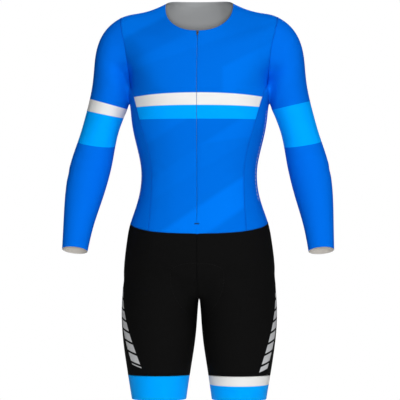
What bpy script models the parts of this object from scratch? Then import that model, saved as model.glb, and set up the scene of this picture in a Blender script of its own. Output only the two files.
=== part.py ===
"""A long-sleeved, collarless cyclocross skinsuit, filled out on a general figure with no wearer.

Metres, +Z up, the chest facing -Y.  The origin is midway between the two high shoulder points,
where the wearer's shoulders carry the suit.

The whole suit is first drawn as one coarse cage of four-sided faces: rings round the trunk,
the legs and the sleeves.  The rings come from the size tables below.  A subdivision surface
through the cage gives the skin, and each sewn piece is then cut from that one skin, so that
neighbouring pieces share their form at every seam.
"""

import math
from collections import namedtuple

import bmesh
import bpy
from mathutils import Matrix, Vector

MM = 0.001

# Cloth and seams
WALL = 1.5 * MM
SEAM_GAP = 0.3 * MM
ZIP_SLOT = 2.6 * MM

# Columns of the cage round half the trunk: 0 is the centre front, 6 the side, 12 the centre back
HALF = 12
SIDE = 6
FRONT_SEAM = 4
BACK_SEAM = 8
YOKE_ROWS = 3
TUBE = 16

# Neckline
NECK_HALF_WIDTH = 85 * MM
NECK_FRONT_DROP = 69 * MM
NECK_BACK_RISE = 15 * MM
NECK_FRONT_Y = -78 * MM
NECK_SIDE_Y = 4 * MM
NECK_BACK_Y = 66 * MM
NECK_ROUNDNESS = 2.2
SHOULDER_DIP = (3.5 * MM, 0.5 * MM)

# The armhole of the wearer's left side (+X), from the shoulder point down the front, under the
# arm and up the back.  Its points are also the first ring of the sleeve.
ArmholePoint = namedtuple("ArmholePoint", "x y z")
ARMHOLE = [
    ArmholePoint(*(MM * size for size in row))
    for row in (
        (197.0, 8.0, -28.0),
        (194.5, -18.0, -37.0),
        (190.0, -39.0, -58.0),
        (184.5, -53.0, -88.0),
        (179.5, -58.5, -124.0),
        (175.5, -55.0, -160.0),
        (172.5, -44.5, -194.0),
        (173.5, -22.0, -229.0),
        (174.5, 7.0, -246.0),
        (173.5, 36.0, -231.0),
        (174.0, 56.5, -200.0),
        (177.0, 67.0, -166.0),
        (181.0, 70.5, -128.0),
        (186.0, 66.0, -90.0),
        (191.0, 52.0, -58.0),
        (195.0, 32.0, -37.0),
    )
]
ARMHOLE_FRONT = range(2, 7)
ARMHOLE_BACK = range(14, 9, -1)

# Chest and back between the armholes: where each row crosses the centre line, and how
# square-shouldered the row is between there and the armhole
ChestRow = namedtuple("ChestRow", "y z turn")
CHEST_ROWS = [
    ChestRow(-105 * MM, -122 * MM, 2.2),
    ChestRow(-116 * MM, -151 * MM, 2.5),
    ChestRow(-124 * MM, -181 * MM, 2.8),
    ChestRow(-127 * MM, -211 * MM, 3.0),
    ChestRow(-127.5 * MM, -245 * MM, 3.1),
]
BACK_ROWS = [
    ChestRow(95 * MM, -84 * MM, 2.2),
    ChestRow(104 * MM, -121 * MM, 2.4),
    ChestRow(108 * MM, -160 * MM, 2.6),
    ChestRow(108 * MM, -200 * MM, 2.8),
    ChestRow(104.5 * MM, -241 * MM, 3.0),
]

# Rings round the trunk below the armholes.  seam_x is where the front and back panels end.
TrunkRing = namedtuple(
    "TrunkRing", "z_side z_front z_back half_width front_y back_y side_y seam_x back_seam_x square"
)
TRUNK_RINGS = [
    TrunkRing(*(MM * size for size in row[:-1]), row[-1])
    for row in (
        (-286, -288, -290, 170.0, -125.0, 98.0, 2, 144, 150, 2.5),
        (-335, -336, -338, 161.0, -119.5, 87.0, 1, 129, 134, 2.4),
        (-385, -386, -386, 148.7, -112.5, 77.0, -1, 117, 121, 2.35),
        (-430, -433, -430, 144.5, -108.5, 73.0, -2, 113.5, 116, 2.3),
        (-487, -498, -475, 153.0, -110.0, 79.0, -1, 115, 119, 2.3),
        (-545, -570, -520, 173.7, -114.5, 93.0, 0, 120, 128, 2.35),
    )
]
HIP_RINGS = [
    TrunkRing(*(MM * size for size in row[:-1]), row[-1])
    for row in (
        (-590, -611, -572, 182.0, -116.0, 107.0, 2, 124, 133, 2.4),
        (-634, -650, -625, 188.0, -112.5, 117.5, 3, 130, 138, 2.4),
        (-679, -684, -671, 190.0, -104.0, 116.0, 3, 139, 146, 2.4),
    )
]

# Crotch: the points of the seam under the body, from the centre front to the centre back
CROTCH = [
    Vector((0, -79 * MM, -707 * MM)),
    Vector((0, -44 * MM, -723.5 * MM)),
    Vector((0, -2 * MM, -728 * MM)),
    Vector((0, 42 * MM, -720 * MM)),
    Vector((0, 82 * MM, -699 * MM)),
]
CROTCH_LOBE = 0.75

# Rings round the left leg, and where its grip band starts
LegRing = namedtuple("LegRing", "z outer_x inner_x middle_y half_depth")
LEG_RINGS = [
    LegRing(*(MM * size for size in row))
    for row in (
        (-722, 192.7, 3.5, 1.5, 101.5),
        (-766, 195.0, 3.6, 0.5, 98.5),
        (-817, 192.8, 7.4, -1.5, 93.5),
        (-868, 186.8, 14.0, -3.8, 86.3),
        (-920, 178.6, 22.5, -5.5, 78.5),
        (-982, 168.5, 31.3, -7.3, 70.8),
    )
]
GRIP_RING = 4

# Rings round the left sleeve.  pitch tips the ring as the forearm comes forward.
SleeveRing = namedtuple("SleeveRing", "outer_x outer_z inner_x inner_z middle_y half_depth pitch")
SLEEVE_RINGS = [
    SleeveRing(*(MM * size for size in row[:-1]), math.radians(row[-1]))
    for row in (
        (238.0, -62, 180.5, -259, 6.0, 62.0, 0),
        (260.0, -115, 187.0, -274, 7.5, 61.0, 0),
        (265.5, -171, 193.5, -290, 9.0, 58.0, 0),
        (273.0, -222, 201.0, -310, 10.0, 54.5, -2),
        (285.5, -272, 208.5, -338, 10.5, 51.0, -2),
        (302.0, -330, 215.0, -374, 9.0, 48.5, 4),
        (321.5, -388, 222.5, -415, 2.0, 48.0, 14),
        (333.0, -459, 239.0, -479, -20.0, 45.0, 19),
        (335.0, -534, 259.5, -546, -46.0, 37.5, 19),
        (336.0, -608, 272.5, -613, -71.0, 29.5, 19),
    )
]

# Front zip
ZIP_BOTTOM_Z = -545 * MM
TAPE_HALF_WIDTH = 11 * MM
TAPE_THICKNESS = 0.7 * MM
COIL_HALF_WIDTH = 0.95 * MM
COIL_BELOW_FACE = 0.3 * MM
SLIDER_LENGTH = 7.6 * MM
SLIDER_WIDTH = 5.6 * MM
SLIDER_THICKNESS = 1.2 * MM
SLIDER_FROM_EDGE = 1.0 * MM
BRIDGE_LENGTH = 4.6 * MM
BRIDGE_WIDTH = 1.5 * MM
BRIDGE_BAR = 0.8 * MM
PIN_RADIUS = 0.55 * MM
RUN = 0.3 * MM
PULL_LENGTH = 9.0 * MM
PULL_WIDTH = 4.4 * MM
PULL_WINDOW = 3.6 * MM

# Seat pad, inside the shorts
PAD_THICKNESS = 7 * MM
PAD_HALF_WIDTH = 66 * MM
PAD_TOP_Z = -641 * MM
PAD_FOOT_Z = -792 * MM
PAD_BACK_HALF_WIDTH = 84 * MM
PAD_BACK_TOP_Z = -618 * MM

Colour = namedtuple("Colour", "red green blue")
BLUE = Colour(0.0, 0.19, 0.85)
SKY = Colour(0.0, 0.35, 1.0)
BLACK = Colour(0.006, 0.006, 0.006)
DARK_METAL = Colour(0.02, 0.02, 0.022)
PAD_GREY = Colour(0.25, 0.27, 0.3)

PANELS = (
    "front_left",
    "front_right",
    "back_panel",
    "side_left",
    "side_right",
    "sleeve_left",
    "sleeve_right",
    "shorts_front_left",
    "shorts_front_right",
    "shorts_back_left",
    "shorts_back_right",
    "grip_left",
    "grip_right",
)


def power(value, exponent):
    """A power that keeps the sign, for a superellipse."""
    return math.copysign(abs(value) ** exponent, value)


def clear_scene():
    for obj in list(bpy.data.objects):
        bpy.data.objects.remove(obj, do_unlink=True)


def add_object(name, mesh, colour, collection, metallic=0.0, roughness=0.6):
    obj = bpy.data.objects.new(name, mesh)
    collection.objects.link(obj)
    material = bpy.data.materials.new(name)
    material.use_nodes = True
    shader = material.node_tree.nodes["Principled BSDF"]
    shader.inputs["Base Color"].default_value = (*colour, 1.0)
    shader.inputs["Metallic"].default_value = metallic
    shader.inputs["Roughness"].default_value = roughness
    mesh.materials.clear()
    mesh.materials.append(material)
    return obj


# ------------------------------------------------------------------ the cage's rings


def neck_point(column):
    """A point of the neckline: a deep scoop in front, a shallow rise behind."""
    turn = math.pi / 2 * (1 - column / SIDE)
    across = NECK_HALF_WIDTH * power(math.cos(turn), 2 / NECK_ROUNDNESS)
    if column <= SIDE:
        forward = math.sin(turn)
        y = NECK_SIDE_Y + (NECK_FRONT_Y - NECK_SIDE_Y) * forward**0.95
        z = -NECK_FRONT_DROP * forward ** (2 / NECK_ROUNDNESS)
    else:
        backward = -math.sin(turn)
        y = NECK_SIDE_Y + (NECK_BACK_Y - NECK_SIDE_Y) * backward**0.95
        z = NECK_BACK_RISE * (1 - (1 - backward) ** 2.5)
    return Vector((across, y, z))


def chest_point(row, column):
    """A point between the armholes: from the centre line out to the armhole."""
    if column <= SIDE:
        line, edge, share = CHEST_ROWS[row], ARMHOLE[ARMHOLE_FRONT[row]], column / FRONT_SEAM
    else:
        line, edge = BACK_ROWS[row], ARMHOLE[ARMHOLE_BACK[row]]
        share = (HALF - column) / (HALF - BACK_SEAM)
    return Vector(
        (
            edge.x * share**0.97,
            line.y + (edge.y - line.y) * share**line.turn,
            line.z + (edge.z - line.z) * share ** (0.75 * line.turn),
        )
    )


def trunk_point(ring, column):
    """A point of a superellipse ring, with its seam columns where the panels end."""
    in_front = column <= SIDE
    seam = FRONT_SEAM if in_front else HALF - BACK_SEAM
    steps = column if in_front else HALF - column
    seam_x = ring.seam_x if in_front else ring.back_seam_x
    seam_turn = math.acos((seam_x / ring.half_width) ** (ring.square / 2))
    if steps <= seam:
        turn = math.pi / 2 + (seam_turn - math.pi / 2) * steps / seam
    else:
        turn = seam_turn * (SIDE - steps) / (SIDE - seam)
    out = math.sin(turn)
    depth = (ring.front_y if in_front else ring.back_y) - ring.side_y
    drop = (ring.z_front if in_front else ring.z_back) - ring.z_side
    return Vector(
        (
            ring.half_width * power(math.cos(turn), 2 / ring.square),
            ring.side_y + depth * out ** (2 / ring.square),
            ring.z_side + drop * out,
        )
    )


def leg_point(ring, column):
    """A point of a leg ring: 0 to 12 follow the trunk's columns, 13 to 15 the inner thigh."""
    turn = 2 * math.pi * (column - SIDE) / TUBE
    middle_x = (ring.outer_x + ring.inner_x) / 2
    half_width = (ring.outer_x - ring.inner_x) / 2
    return Vector(
        (
            middle_x + half_width * math.cos(turn),
            ring.middle_y + ring.half_depth * math.sin(turn),
            ring.z,
        )
    )


def crotch_point(column):
    """The ring where the trunk parts into legs: the centre dips in between two lobes."""
    lobe = leg_point(LEG_RINGS[0], column)
    if column in (0, HALF):
        return CROTCH[0 if column == 0 else -1].copy()
    trunk = trunk_point(HIP_RINGS[-1], column)
    trunk.z = LEG_RINGS[0].z
    nearness = min(column, HALF - column) / SIDE
    share = CROTCH_LOBE + (1 - CROTCH_LOBE) * nearness
    point = trunk.lerp(lobe, share)
    centre = CROTCH[0] if column < SIDE else CROTCH[-1]
    point.z += (centre.z - point.z) * (1 - nearness) ** 2
    return point


def sleeve_point(ring, column):
    """A point of a sleeve ring: 0 is the outside of the arm, 4 its front, 8 its inside."""
    turn = 2 * math.pi * column / TUBE
    outer = Vector((ring.outer_x, 0, ring.outer_z))
    inner = Vector((ring.inner_x, 0, ring.inner_z))
    middle = (outer + inner) / 2 + Vector((0, ring.middle_y, 0))
    across = (outer - inner) / 2 * math.cos(turn)
    forward = Vector((0, -math.cos(ring.pitch), math.sin(ring.pitch)))
    return middle + across + forward * ring.half_depth * math.sin(turn)


# ------------------------------------------------------------------ the cage


class Cage:
    """The coarse cage of the whole suit.  Faces carry their panel as a material index."""

    def __init__(self):
        self.mesh = bmesh.new()
        self.points = {}

    def point(self, key, place, side):
        """The cage's point of that name on that side, made once; centre points are shared."""
        shared = abs(place.x) < 1e-6
        name = (key, 0 if shared else side)
        if name not in self.points:
            at = Vector((place.x * side, place.y, place.z))
            self.points[name] = self.mesh.verts.new(at)
        return self.points[name]

    def face(self, corners, panel, side):
        """A face facing out, wound the other way on the mirrored side."""
        order = corners if side > 0 else corners[::-1]
        made = self.mesh.faces.new(order)
        made.material_index = PANELS.index(panel)

    def grid(self, rows, panel_of, side, closed=False):
        """Faces between rows of points, which run from the centre front round to the back."""
        for upper, lower, row in zip(rows, rows[1:], range(len(rows))):
            count = len(upper) if closed else len(upper) - 1
            for column in range(count):
                after = (column + 1) % len(upper)
                panel = panel_of(row, column)
                if panel:
                    corners = [upper[column], lower[column], lower[after], upper[after]]
                    self.face(corners, panel, side)


def side_name(stem, side):
    return f"{stem}_{'left' if side > 0 else 'right'}"


def yoke_point(row, column):
    """Between the neckline and the row that passes over the shoulder point."""
    share = row / YOKE_ROWS
    if FRONT_SEAM <= column <= BACK_SEAM:
        low = Vector(ARMHOLE[(SIDE - column) % TUBE])
    else:
        low = chest_point(0, column)
    point = neck_point(column).lerp(low, share)
    if 0 < row < YOKE_ROWS:
        nearness = 1 - abs(column - SIDE) / SIDE
        point.z -= SHOULDER_DIP[row - 1] * nearness**1.5
    return point


def add_trunk(cage, side):
    """Shoulders, chest, back and sides, down to the waist seam; returns the waist's points."""

    def upper_panel(_, column):
        return side_name("front", side) if column < SIDE else "back_panel"

    def chest_panel(_, column):
        if FRONT_SEAM <= column < BACK_SEAM:
            return None
        return upper_panel(_, column)

    def lower_panel(_, column):
        if FRONT_SEAM <= column < BACK_SEAM:
            return side_name("side", side)
        return upper_panel(_, column)

    columns = range(HALF + 1)
    yoke = [
        [cage.point(("yoke", row, c), yoke_point(row, c), side) for c in columns]
        for row in range(YOKE_ROWS + 1)
    ]
    cage.grid(yoke, upper_panel, side)

    chest = [yoke[-1]]
    for row in range(1, len(CHEST_ROWS)):
        line = []
        for c in columns:
            if row < len(CHEST_ROWS) - 1 and FRONT_SEAM < c < BACK_SEAM:
                line.append(None)
            elif FRONT_SEAM < c < BACK_SEAM:
                under = ARMHOLE[ARMHOLE_FRONT[row] + c - FRONT_SEAM]
                line.append(cage.point(("chest", row, c), Vector(under), side))
            else:
                line.append(cage.point(("chest", row, c), chest_point(row, c), side))
        chest.append(line)
    cage.grid(chest, chest_panel, side)

    lower = [chest[-1]]
    for number, ring in enumerate(TRUNK_RINGS):
        lower.append(
            [cage.point(("trunk", number, c), trunk_point(ring, c), side) for c in columns]
        )
    cage.grid(lower, lower_panel, side)

    armhole = [yoke[-1][c] for c in (6, 5, 4)]
    armhole += [chest[row][FRONT_SEAM] for row in range(1, 5)]
    armhole += [chest[-1][c] for c in (5, 6, 7)]
    armhole += [chest[row][BACK_SEAM] for row in range(4, 0, -1)]
    armhole += [yoke[-1][c] for c in (8, 7)]
    return lower[-1], armhole


def add_shorts(cage, waist, side):
    """From the waist seam down to the leg hem."""

    def panel(_, column):
        in_front = column < SIDE or column >= TUBE - 2
        return side_name("shorts_front" if in_front else "shorts_back", side)

    columns = range(HALF + 1)
    rows = [waist]
    for number, ring in enumerate(HIP_RINGS):
        rows.append([cage.point(("hip", number, c), trunk_point(ring, c), side) for c in columns])
    rows.append([cage.point(("crotch", c), crotch_point(c), side) for c in columns])
    cage.grid(rows, panel, side)

    seam = [cage.point(("crotch_seam", n), CROTCH[n], side) for n in (3, 2, 1)]
    legs = [rows[-1] + seam]
    for number, ring in enumerate(LEG_RINGS[1:]):
        legs.append(
            [cage.point(("leg", number, c), leg_point(ring, c), side) for c in range(TUBE)]
        )
    cage.grid(legs[: GRIP_RING + 1], panel, side, closed=True)
    cage.grid(legs[GRIP_RING:], lambda *_: side_name("grip", side), side, closed=True)


def add_sleeve(cage, armhole, side):
    """From the armhole to the cuff.  Its columns run the other way round than the trunk's."""
    rows = [armhole]
    for number, ring in enumerate(SLEEVE_RINGS):
        rows.append(
            [cage.point(("sleeve", number, c), sleeve_point(ring, c), side) for c in range(TUBE)]
        )
    turned = [row[::-1] for row in rows]
    cage.grid(turned, lambda *_: side_name("sleeve", side), side, closed=True)


def limit_place(vert):
    """Where the subdivision surface passes near this point of the cage."""
    if vert.is_boundary:
        ends = [edge.other_vert(vert) for edge in vert.link_edges if edge.is_boundary]
        return (4 * vert.co + ends[0].co + ends[1].co) / 6
    count = len(vert.link_edges)
    total = count * count * vert.co
    for edge in vert.link_edges:
        total = total + 4 * edge.other_vert(vert).co
    for face in vert.link_faces:
        corners = list(face.verts)
        total = total + corners[(corners.index(vert) + 2) % 4].co
    return total / (count * (count + 5))


def draw_through(mesh, rounds=6):
    """Pushes the cage out until the smooth surface passes through its first points."""
    wanted = {vert: vert.co.copy() for vert in mesh.verts}
    for _ in range(rounds):
        misses = {vert: wanted[vert] - limit_place(vert) for vert in mesh.verts}
        for vert, miss in misses.items():
            vert.co += miss


def suit_cage():
    cage = Cage()
    for side in (1, -1):
        waist, armhole = add_trunk(cage, side)
        add_shorts(cage, waist, side)
        add_sleeve(cage, armhole, side)
    draw_through(cage.mesh)
    return cage.mesh


def smooth_skin(cage_mesh, guides):
    """The cage's subdivision surface, as a bmesh whose faces keep their panel."""
    mesh = bpy.data.meshes.new("suit_cage")
    cage_mesh.to_mesh(mesh)
    for panel in PANELS:
        mesh.materials.append(bpy.data.materials.new(panel))
    guide = bpy.data.objects.new("suit_cage", mesh)
    guides.objects.link(guide)
    guide.hide_render = True
    guide.display_type = "WIRE"
    smooth = guide.modifiers.new("smooth", "SUBSURF")
    smooth.levels = smooth.render_levels = 1
    bpy.context.view_layer.update()
    evaluated = guide.evaluated_get(bpy.context.evaluated_depsgraph_get())
    skin = bmesh.new()
    skin.from_mesh(evaluated.to_mesh())
    evaluated.to_mesh_clear()
    skin.normal_update()
    return skin


# ------------------------------------------------------------------ sewn pieces


def edge_setback(edge):
    """How far a panel stops short of this edge of the skin."""
    if len(edge.link_faces) < 2:
        return 0.0
    names = {PANELS[face.material_index] for face in edge.link_faces}
    on_zip = names == {"front_left", "front_right"}
    if on_zip and min(vert.co.z for vert in edge.verts) > ZIP_BOTTOM_Z:
        return ZIP_SLOT / 2
    return SEAM_GAP / 2


def setback(vert, panel):
    """The move that brings a border point back from the seams that meet there."""
    inward = []
    for edge in vert.link_edges:
        mine = [face for face in edge.link_faces if face.material_index == panel]
        if len(mine) != 1:
            continue
        along = (edge.verts[1].co - edge.verts[0].co).normalized()
        across = mine[0].normal.cross(along).normalized()
        to_face = mine[0].calc_center_median() - edge.verts[0].co
        if across.dot(to_face) < 0:
            across = -across
        inward.append((across, edge_setback(edge)))
    if len(inward) != 2:
        return Vector()
    (first, near), (second, far) = inward
    agreement = first.dot(second)
    if agreement > 0.98:
        return (first + second).normalized() * max(near, far)
    scale = 1 / (1 - agreement**2)
    return scale * ((near - agreement * far) * first + (far - agreement * near) * second)


def edge_face(wall, outside, inside, loop):
    """The cut edge of a wall.  Both sides of a seam split it along the same diagonal."""
    start, end = loop.vert, loop.link_loop_next.vert
    corners = [outside[end], outside[start], inside[start], inside[end]]
    if start.index > end.index:
        corners = corners[1:] + corners[:1]
    wall.faces.new(corners)


def cloth_wall(skin, panel):
    """A panel of the skin as a closed wall, its outside on the skin."""
    wall = bmesh.new()
    faces = [face for face in skin.faces if face.material_index == panel]
    outside, inside = {}, {}
    for vert in {vert for face in faces for vert in face.verts}:
        place = vert.co + setback(vert, panel)
        outside[vert] = wall.verts.new(place)
        inside[vert] = wall.verts.new(place - vert.normal * WALL)
    for face in faces:
        wall.faces.new([outside[vert] for vert in face.verts])
        wall.faces.new([inside[vert] for vert in reversed(face.verts)])
        for loop in face.loops:
            mine = [f for f in loop.edge.link_faces if f.material_index == panel]
            if len(mine) == 1:
                edge_face(wall, outside, inside, loop)
    return wall


def to_mesh(built, name):
    mesh = bpy.data.meshes.new(name)
    built.to_mesh(mesh)
    built.free()
    mesh.shade_smooth()
    mesh.set_sharp_from_angle(angle=math.radians(40))
    return mesh


def add_panels(skin, suit):
    for number, name in enumerate(PANELS):
        if name.startswith("shorts"):
            colour = BLACK
        elif name.startswith("grip"):
            colour = SKY
        else:
            colour = BLUE
        add_object(name, to_mesh(cloth_wall(skin, number), name), colour, suit)


# ------------------------------------------------------------------ the front zip


def centre_front(skin):
    """The skin's points down the centre front from the neckline to the waist seam."""
    fronts = {PANELS.index("front_left"), PANELS.index("front_right")}
    line = [
        vert
        for vert in skin.verts
        if {face.material_index for face in vert.link_faces} >= fronts and vert.co.y < 0
    ]
    return sorted(line, key=lambda vert: -vert.co.z)


def beside(vert, side):
    """The skin's next point across from the centre line, on that side."""
    others = [edge.other_vert(vert) for edge in vert.link_edges]
    return max(others, key=lambda other: side * (other.co.x - vert.co.x))


def tape_point(vert, across, depth):
    """A point under the cloth, that far from the centre line and below the skin's face."""
    if across == 0:
        return vert.co - vert.normal * depth
    neighbour = beside(vert, math.copysign(1, across))
    share = across / (neighbour.co.x - vert.co.x)
    near = vert.co - vert.normal * depth
    far = neighbour.co - neighbour.normal * depth
    return near.lerp(far, share)


def add_zip_chain(skin, suit):
    """The two tapes under the front edges, with the closed coil standing in the slot."""
    line = [vert for vert in centre_front(skin) if vert.co.z > ZIP_BOTTOM_Z - 8 * MM]
    under = WALL + SEAM_GAP
    low = under + TAPE_THICKNESS
    profile = (
        (-TAPE_HALF_WIDTH, under),
        (-COIL_HALF_WIDTH, under),
        (-COIL_HALF_WIDTH, COIL_BELOW_FACE),
        (COIL_HALF_WIDTH, COIL_BELOW_FACE),
        (COIL_HALF_WIDTH, under),
        (TAPE_HALF_WIDTH, under),
        (TAPE_HALF_WIDTH, low),
        (0.0, low),
        (-TAPE_HALF_WIDTH, low),
    )
    bare = tuple((across, max(depth, under)) for across, depth in profile)
    chain = bmesh.new()
    rows = []
    clear = SLIDER_FROM_EDGE + SLIDER_LENGTH + RUN
    in_slider = len([vert for vert in line if (vert.co - line[0].co).length <= clear])
    for number, vert in enumerate(line):
        outline = profile if number > in_slider else bare
        rows.append([chain.verts.new(tape_point(vert, *at)) for at in outline])
    for upper, lower in zip(rows, rows[1:]):
        for n in range(len(profile)):
            after = (n + 1) % len(profile)
            chain.faces.new([upper[n], upper[after], lower[after], lower[n]])
    chain.faces.new(rows[0][::-1])
    chain.faces.new(rows[-1])
    bmesh.ops.recalc_face_normals(chain, faces=chain.faces)
    add_object("zip_chain", to_mesh(chain, "zip_chain"), DARK_METAL, suit, roughness=0.4)


def slider_frame(skin):
    """The place and turn of the slider: x across, y down the zip, z out of the chest."""
    top, below = centre_front(skin)[:2]
    down = (below.co - top.co).normalized()
    across = Vector((1, 0, 0))
    out = across.cross(down)
    if out.y > 0:
        out = -out
    place = top.co + down * (SLIDER_FROM_EDGE + SLIDER_LENGTH / 2)
    turn = Matrix((across, down, out)).transposed().to_4x4()
    if turn.determinant() < 0:
        turn = Matrix((-across, down, out)).transposed().to_4x4()
    return Matrix.Translation(place) @ turn


def box(built, low, high):
    """A block between two corners, added to a bmesh."""
    made = bmesh.ops.create_cube(built, size=1.0)
    size = Vector(high) - Vector(low)
    middle = (Vector(high) + Vector(low)) / 2
    bmesh.ops.transform(
        built, matrix=Matrix.Translation(middle) @ Matrix.Diagonal((*size, 1)), verts=made["verts"]
    )


def block_object(name, low, high, collection):
    """A helper block that a Boolean uses."""
    built = bmesh.new()
    box(built, low, high)
    mesh = bpy.data.meshes.new(name)
    built.to_mesh(mesh)
    built.free()
    helper = bpy.data.objects.new(name, mesh)
    collection.objects.link(helper)
    helper.hide_render = True
    helper.display_type = "WIRE"
    return helper


def boolean(obj, other, operation):
    modifier = obj.modifiers.new(other.name, "BOOLEAN")
    modifier.operation = operation
    modifier.object = other
    return modifier


def add_slider(frame, suit, guides):
    """The slider's front plate, its neck in the slot and the bridge that carries the pull."""
    half_width, half_length = SLIDER_WIDTH / 2, SLIDER_LENGTH / 2
    plate_low = RUN
    plate_high = plate_low + SLIDER_THICKNESS
    built = bmesh.new()
    box(built, (-half_width, -half_length, plate_low), (half_width, half_length, plate_high))
    plate = bpy.data.meshes.new("zip_slider")
    built.to_mesh(plate)
    built.free()
    slider = add_object("zip_slider", plate, DARK_METAL, suit, metallic=0.9, roughness=0.35)
    bevel = slider.modifiers.new("corners", "BEVEL")
    bevel.width = 0.3 * MM
    bevel.segments = 1
    neck = block_object(
        "slider_neck",
        (-COIL_HALF_WIDTH, -half_length * 0.8, -WALL),
        (COIL_HALF_WIDTH, half_length * 0.8, plate_low + SLIDER_THICKNESS / 2),
        guides,
    )
    hole = 2 * (PIN_RADIUS + RUN)
    arch = block_object(
        "slider_arch",
        (-BRIDGE_WIDTH / 2, -BRIDGE_LENGTH / 2, plate_high - 0.2 * MM),
        (BRIDGE_WIDTH / 2, BRIDGE_LENGTH / 2, plate_high + hole + BRIDGE_BAR),
        guides,
    )
    eye_length = BRIDGE_LENGTH - 2 * BRIDGE_BAR
    eye = block_object(
        "slider_eye",
        (-SLIDER_WIDTH, -eye_length / 2, plate_high + 0.001 * MM),
        (SLIDER_WIDTH, eye_length / 2, plate_high + hole),
        guides,
    )
    for helper in (neck, arch, eye):
        helper.matrix_world = frame
    slider.matrix_world = frame
    boolean(slider, neck, "UNION")
    boolean(slider, arch, "UNION")
    boolean(slider, eye, "DIFFERENCE")
    return plate_high + PIN_RADIUS + RUN


def add_pull(frame, pin_height, suit, guides):
    """The pull tab, its origin on the pin that turns in the slider's bridge."""
    half_width = PULL_WIDTH / 2
    built = bmesh.new()
    box(built, (-half_width, -PIN_RADIUS, -PIN_RADIUS), (half_width, PULL_LENGTH, PIN_RADIUS))
    mesh = bpy.data.meshes.new("zip_pull")
    built.to_mesh(mesh)
    built.free()
    pull = add_object("zip_pull", mesh, DARK_METAL, suit, metallic=0.2, roughness=0.45)
    place = frame @ Matrix.Translation((0, 0, pin_height))
    pull.matrix_world = place
    window = block_object(
        "pull_window",
        (-BRIDGE_WIDTH / 2 - RUN, PIN_RADIUS, -PULL_WIDTH),
        (BRIDGE_WIDTH / 2 + RUN, PIN_RADIUS + PULL_WINDOW, PULL_WIDTH),
        guides,
    )
    window.matrix_world = place
    boolean(pull, window, "DIFFERENCE")
    bevel = pull.modifiers.new("corners", "BEVEL")
    bevel.width = 0.25 * MM
    bevel.segments = 1
    return place


# ------------------------------------------------------------------ the seat pad


def pad_half_width(z, top_z, half_width):
    """The pad's outline in front view: a rounded shield that narrows down the inner thigh."""
    share = (top_z - z) / (top_z - PAD_FOOT_Z)
    if share < 0.22:
        return half_width * (1 - (1 - share / 0.22) ** 3) ** (1 / 2.4)
    return half_width * max(0.0, 1 - ((share - 0.22) / 0.78) ** 2.1)


def pad_column(name, top_z, half_width, y_from, y_to, guides):
    """The pad's outline, drawn out from front to back as a cutter."""
    steps = 18
    levels = [top_z + (PAD_FOOT_Z - top_z) * n / steps for n in range(steps + 1)]
    right = [Vector((pad_half_width(z, top_z, half_width), 0, z)) for z in levels]
    left = [Vector((-p.x, 0, p.z)) for p in reversed(right[1:-1])]
    outline = right + left
    built = bmesh.new()
    near = [built.verts.new((p.x, y_from, p.z)) for p in outline]
    far = [built.verts.new((p.x, y_to, p.z)) for p in outline]
    built.faces.new(near)
    built.faces.new(far[::-1])
    for n in range(len(outline)):
        after = (n + 1) % len(outline)
        built.faces.new([near[after], near[n], far[n], far[after]])
    bmesh.ops.recalc_face_normals(built, faces=built.faces)
    mesh = bpy.data.meshes.new(name)
    built.to_mesh(mesh)
    built.free()
    column = bpy.data.objects.new(name, mesh)
    guides.objects.link(column)
    column.hide_render = True
    column.display_type = "WIRE"
    return column


def add_pad(skin, suit, guides):
    """The stretch pad sewn inside the crotch, cut from a thick wall that follows the shorts."""
    shorts = {n for n, name in enumerate(PANELS) if name.startswith("shorts")}
    faces = [
        face
        for face in skin.faces
        if face.material_index in shorts and -860 * MM < face.calc_center_median().z < -585 * MM
    ]
    near = WALL + SEAM_GAP
    far = near + PAD_THICKNESS
    built = bmesh.new()
    outside, inside = {}, {}
    for vert in {vert for face in faces for vert in face.verts}:
        outside[vert] = built.verts.new(vert.co - vert.normal * near)
        inside[vert] = built.verts.new(vert.co - vert.normal * far)
    chosen = set(faces)
    for face in faces:
        built.faces.new([outside[vert] for vert in face.verts])
        built.faces.new([inside[vert] for vert in reversed(face.verts)])
        for loop in face.loops:
            if len([f for f in loop.edge.link_faces if f in chosen]) == 1:
                edge_face(built, outside, inside, loop)
    pad = add_object("seat_pad", to_mesh(built, "seat_pad"), PAD_GREY, suit, roughness=0.8)
    front = pad_column("pad_front", PAD_TOP_Z, PAD_HALF_WIDTH, -200 * MM, 5 * MM, guides)
    back = pad_column("pad_back", PAD_BACK_TOP_Z, PAD_BACK_HALF_WIDTH, 0, 200 * MM, guides)
    boolean(front, back, "UNION")
    boolean(pad, front, "INTERSECT")


def main():
    clear_scene()
    suit = bpy.data.collections.new("cyclocross_skinsuit")
    guides = bpy.data.collections.new("guides")
    for collection in (suit, guides):
        bpy.context.scene.collection.children.link(collection)
    skin = smooth_skin(suit_cage(), guides)
    add_zip_chain(skin, suit)
    frame = slider_frame(skin)
    pin_height = add_slider(frame, suit, guides)
    add_pull(frame, pin_height, suit, guides)
    # One triangulation for all that is cut from the skin, so that layers stay parallel
    bmesh.ops.triangulate(skin, faces=skin.faces, quad_method="SHORT_EDGE")
    add_panels(skin, suit)
    add_pad(skin, suit, guides)
    skin.free()


main()
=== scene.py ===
# %% [markdown]
# # A cyclocross skinsuit, filled out with no wearer
#
# A skinsuit is one garment from neck to thigh, cut from thin warp knit that stretches over the
# rider. Its walls are under a millimetre thick, so almost all of its form is one smooth skin. The
# solids of the frame give that form as coarse facets. Here each solid's outer face becomes part of
# one fine skin, which gets its soft creases, is cut into its panels again, and is then sewn,
# printed and lit.

# %% Load the frame
import math
from collections import namedtuple

import bpy
import numpy as np
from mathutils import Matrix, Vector
from mathutils.bvhtree import BVHTree


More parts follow.
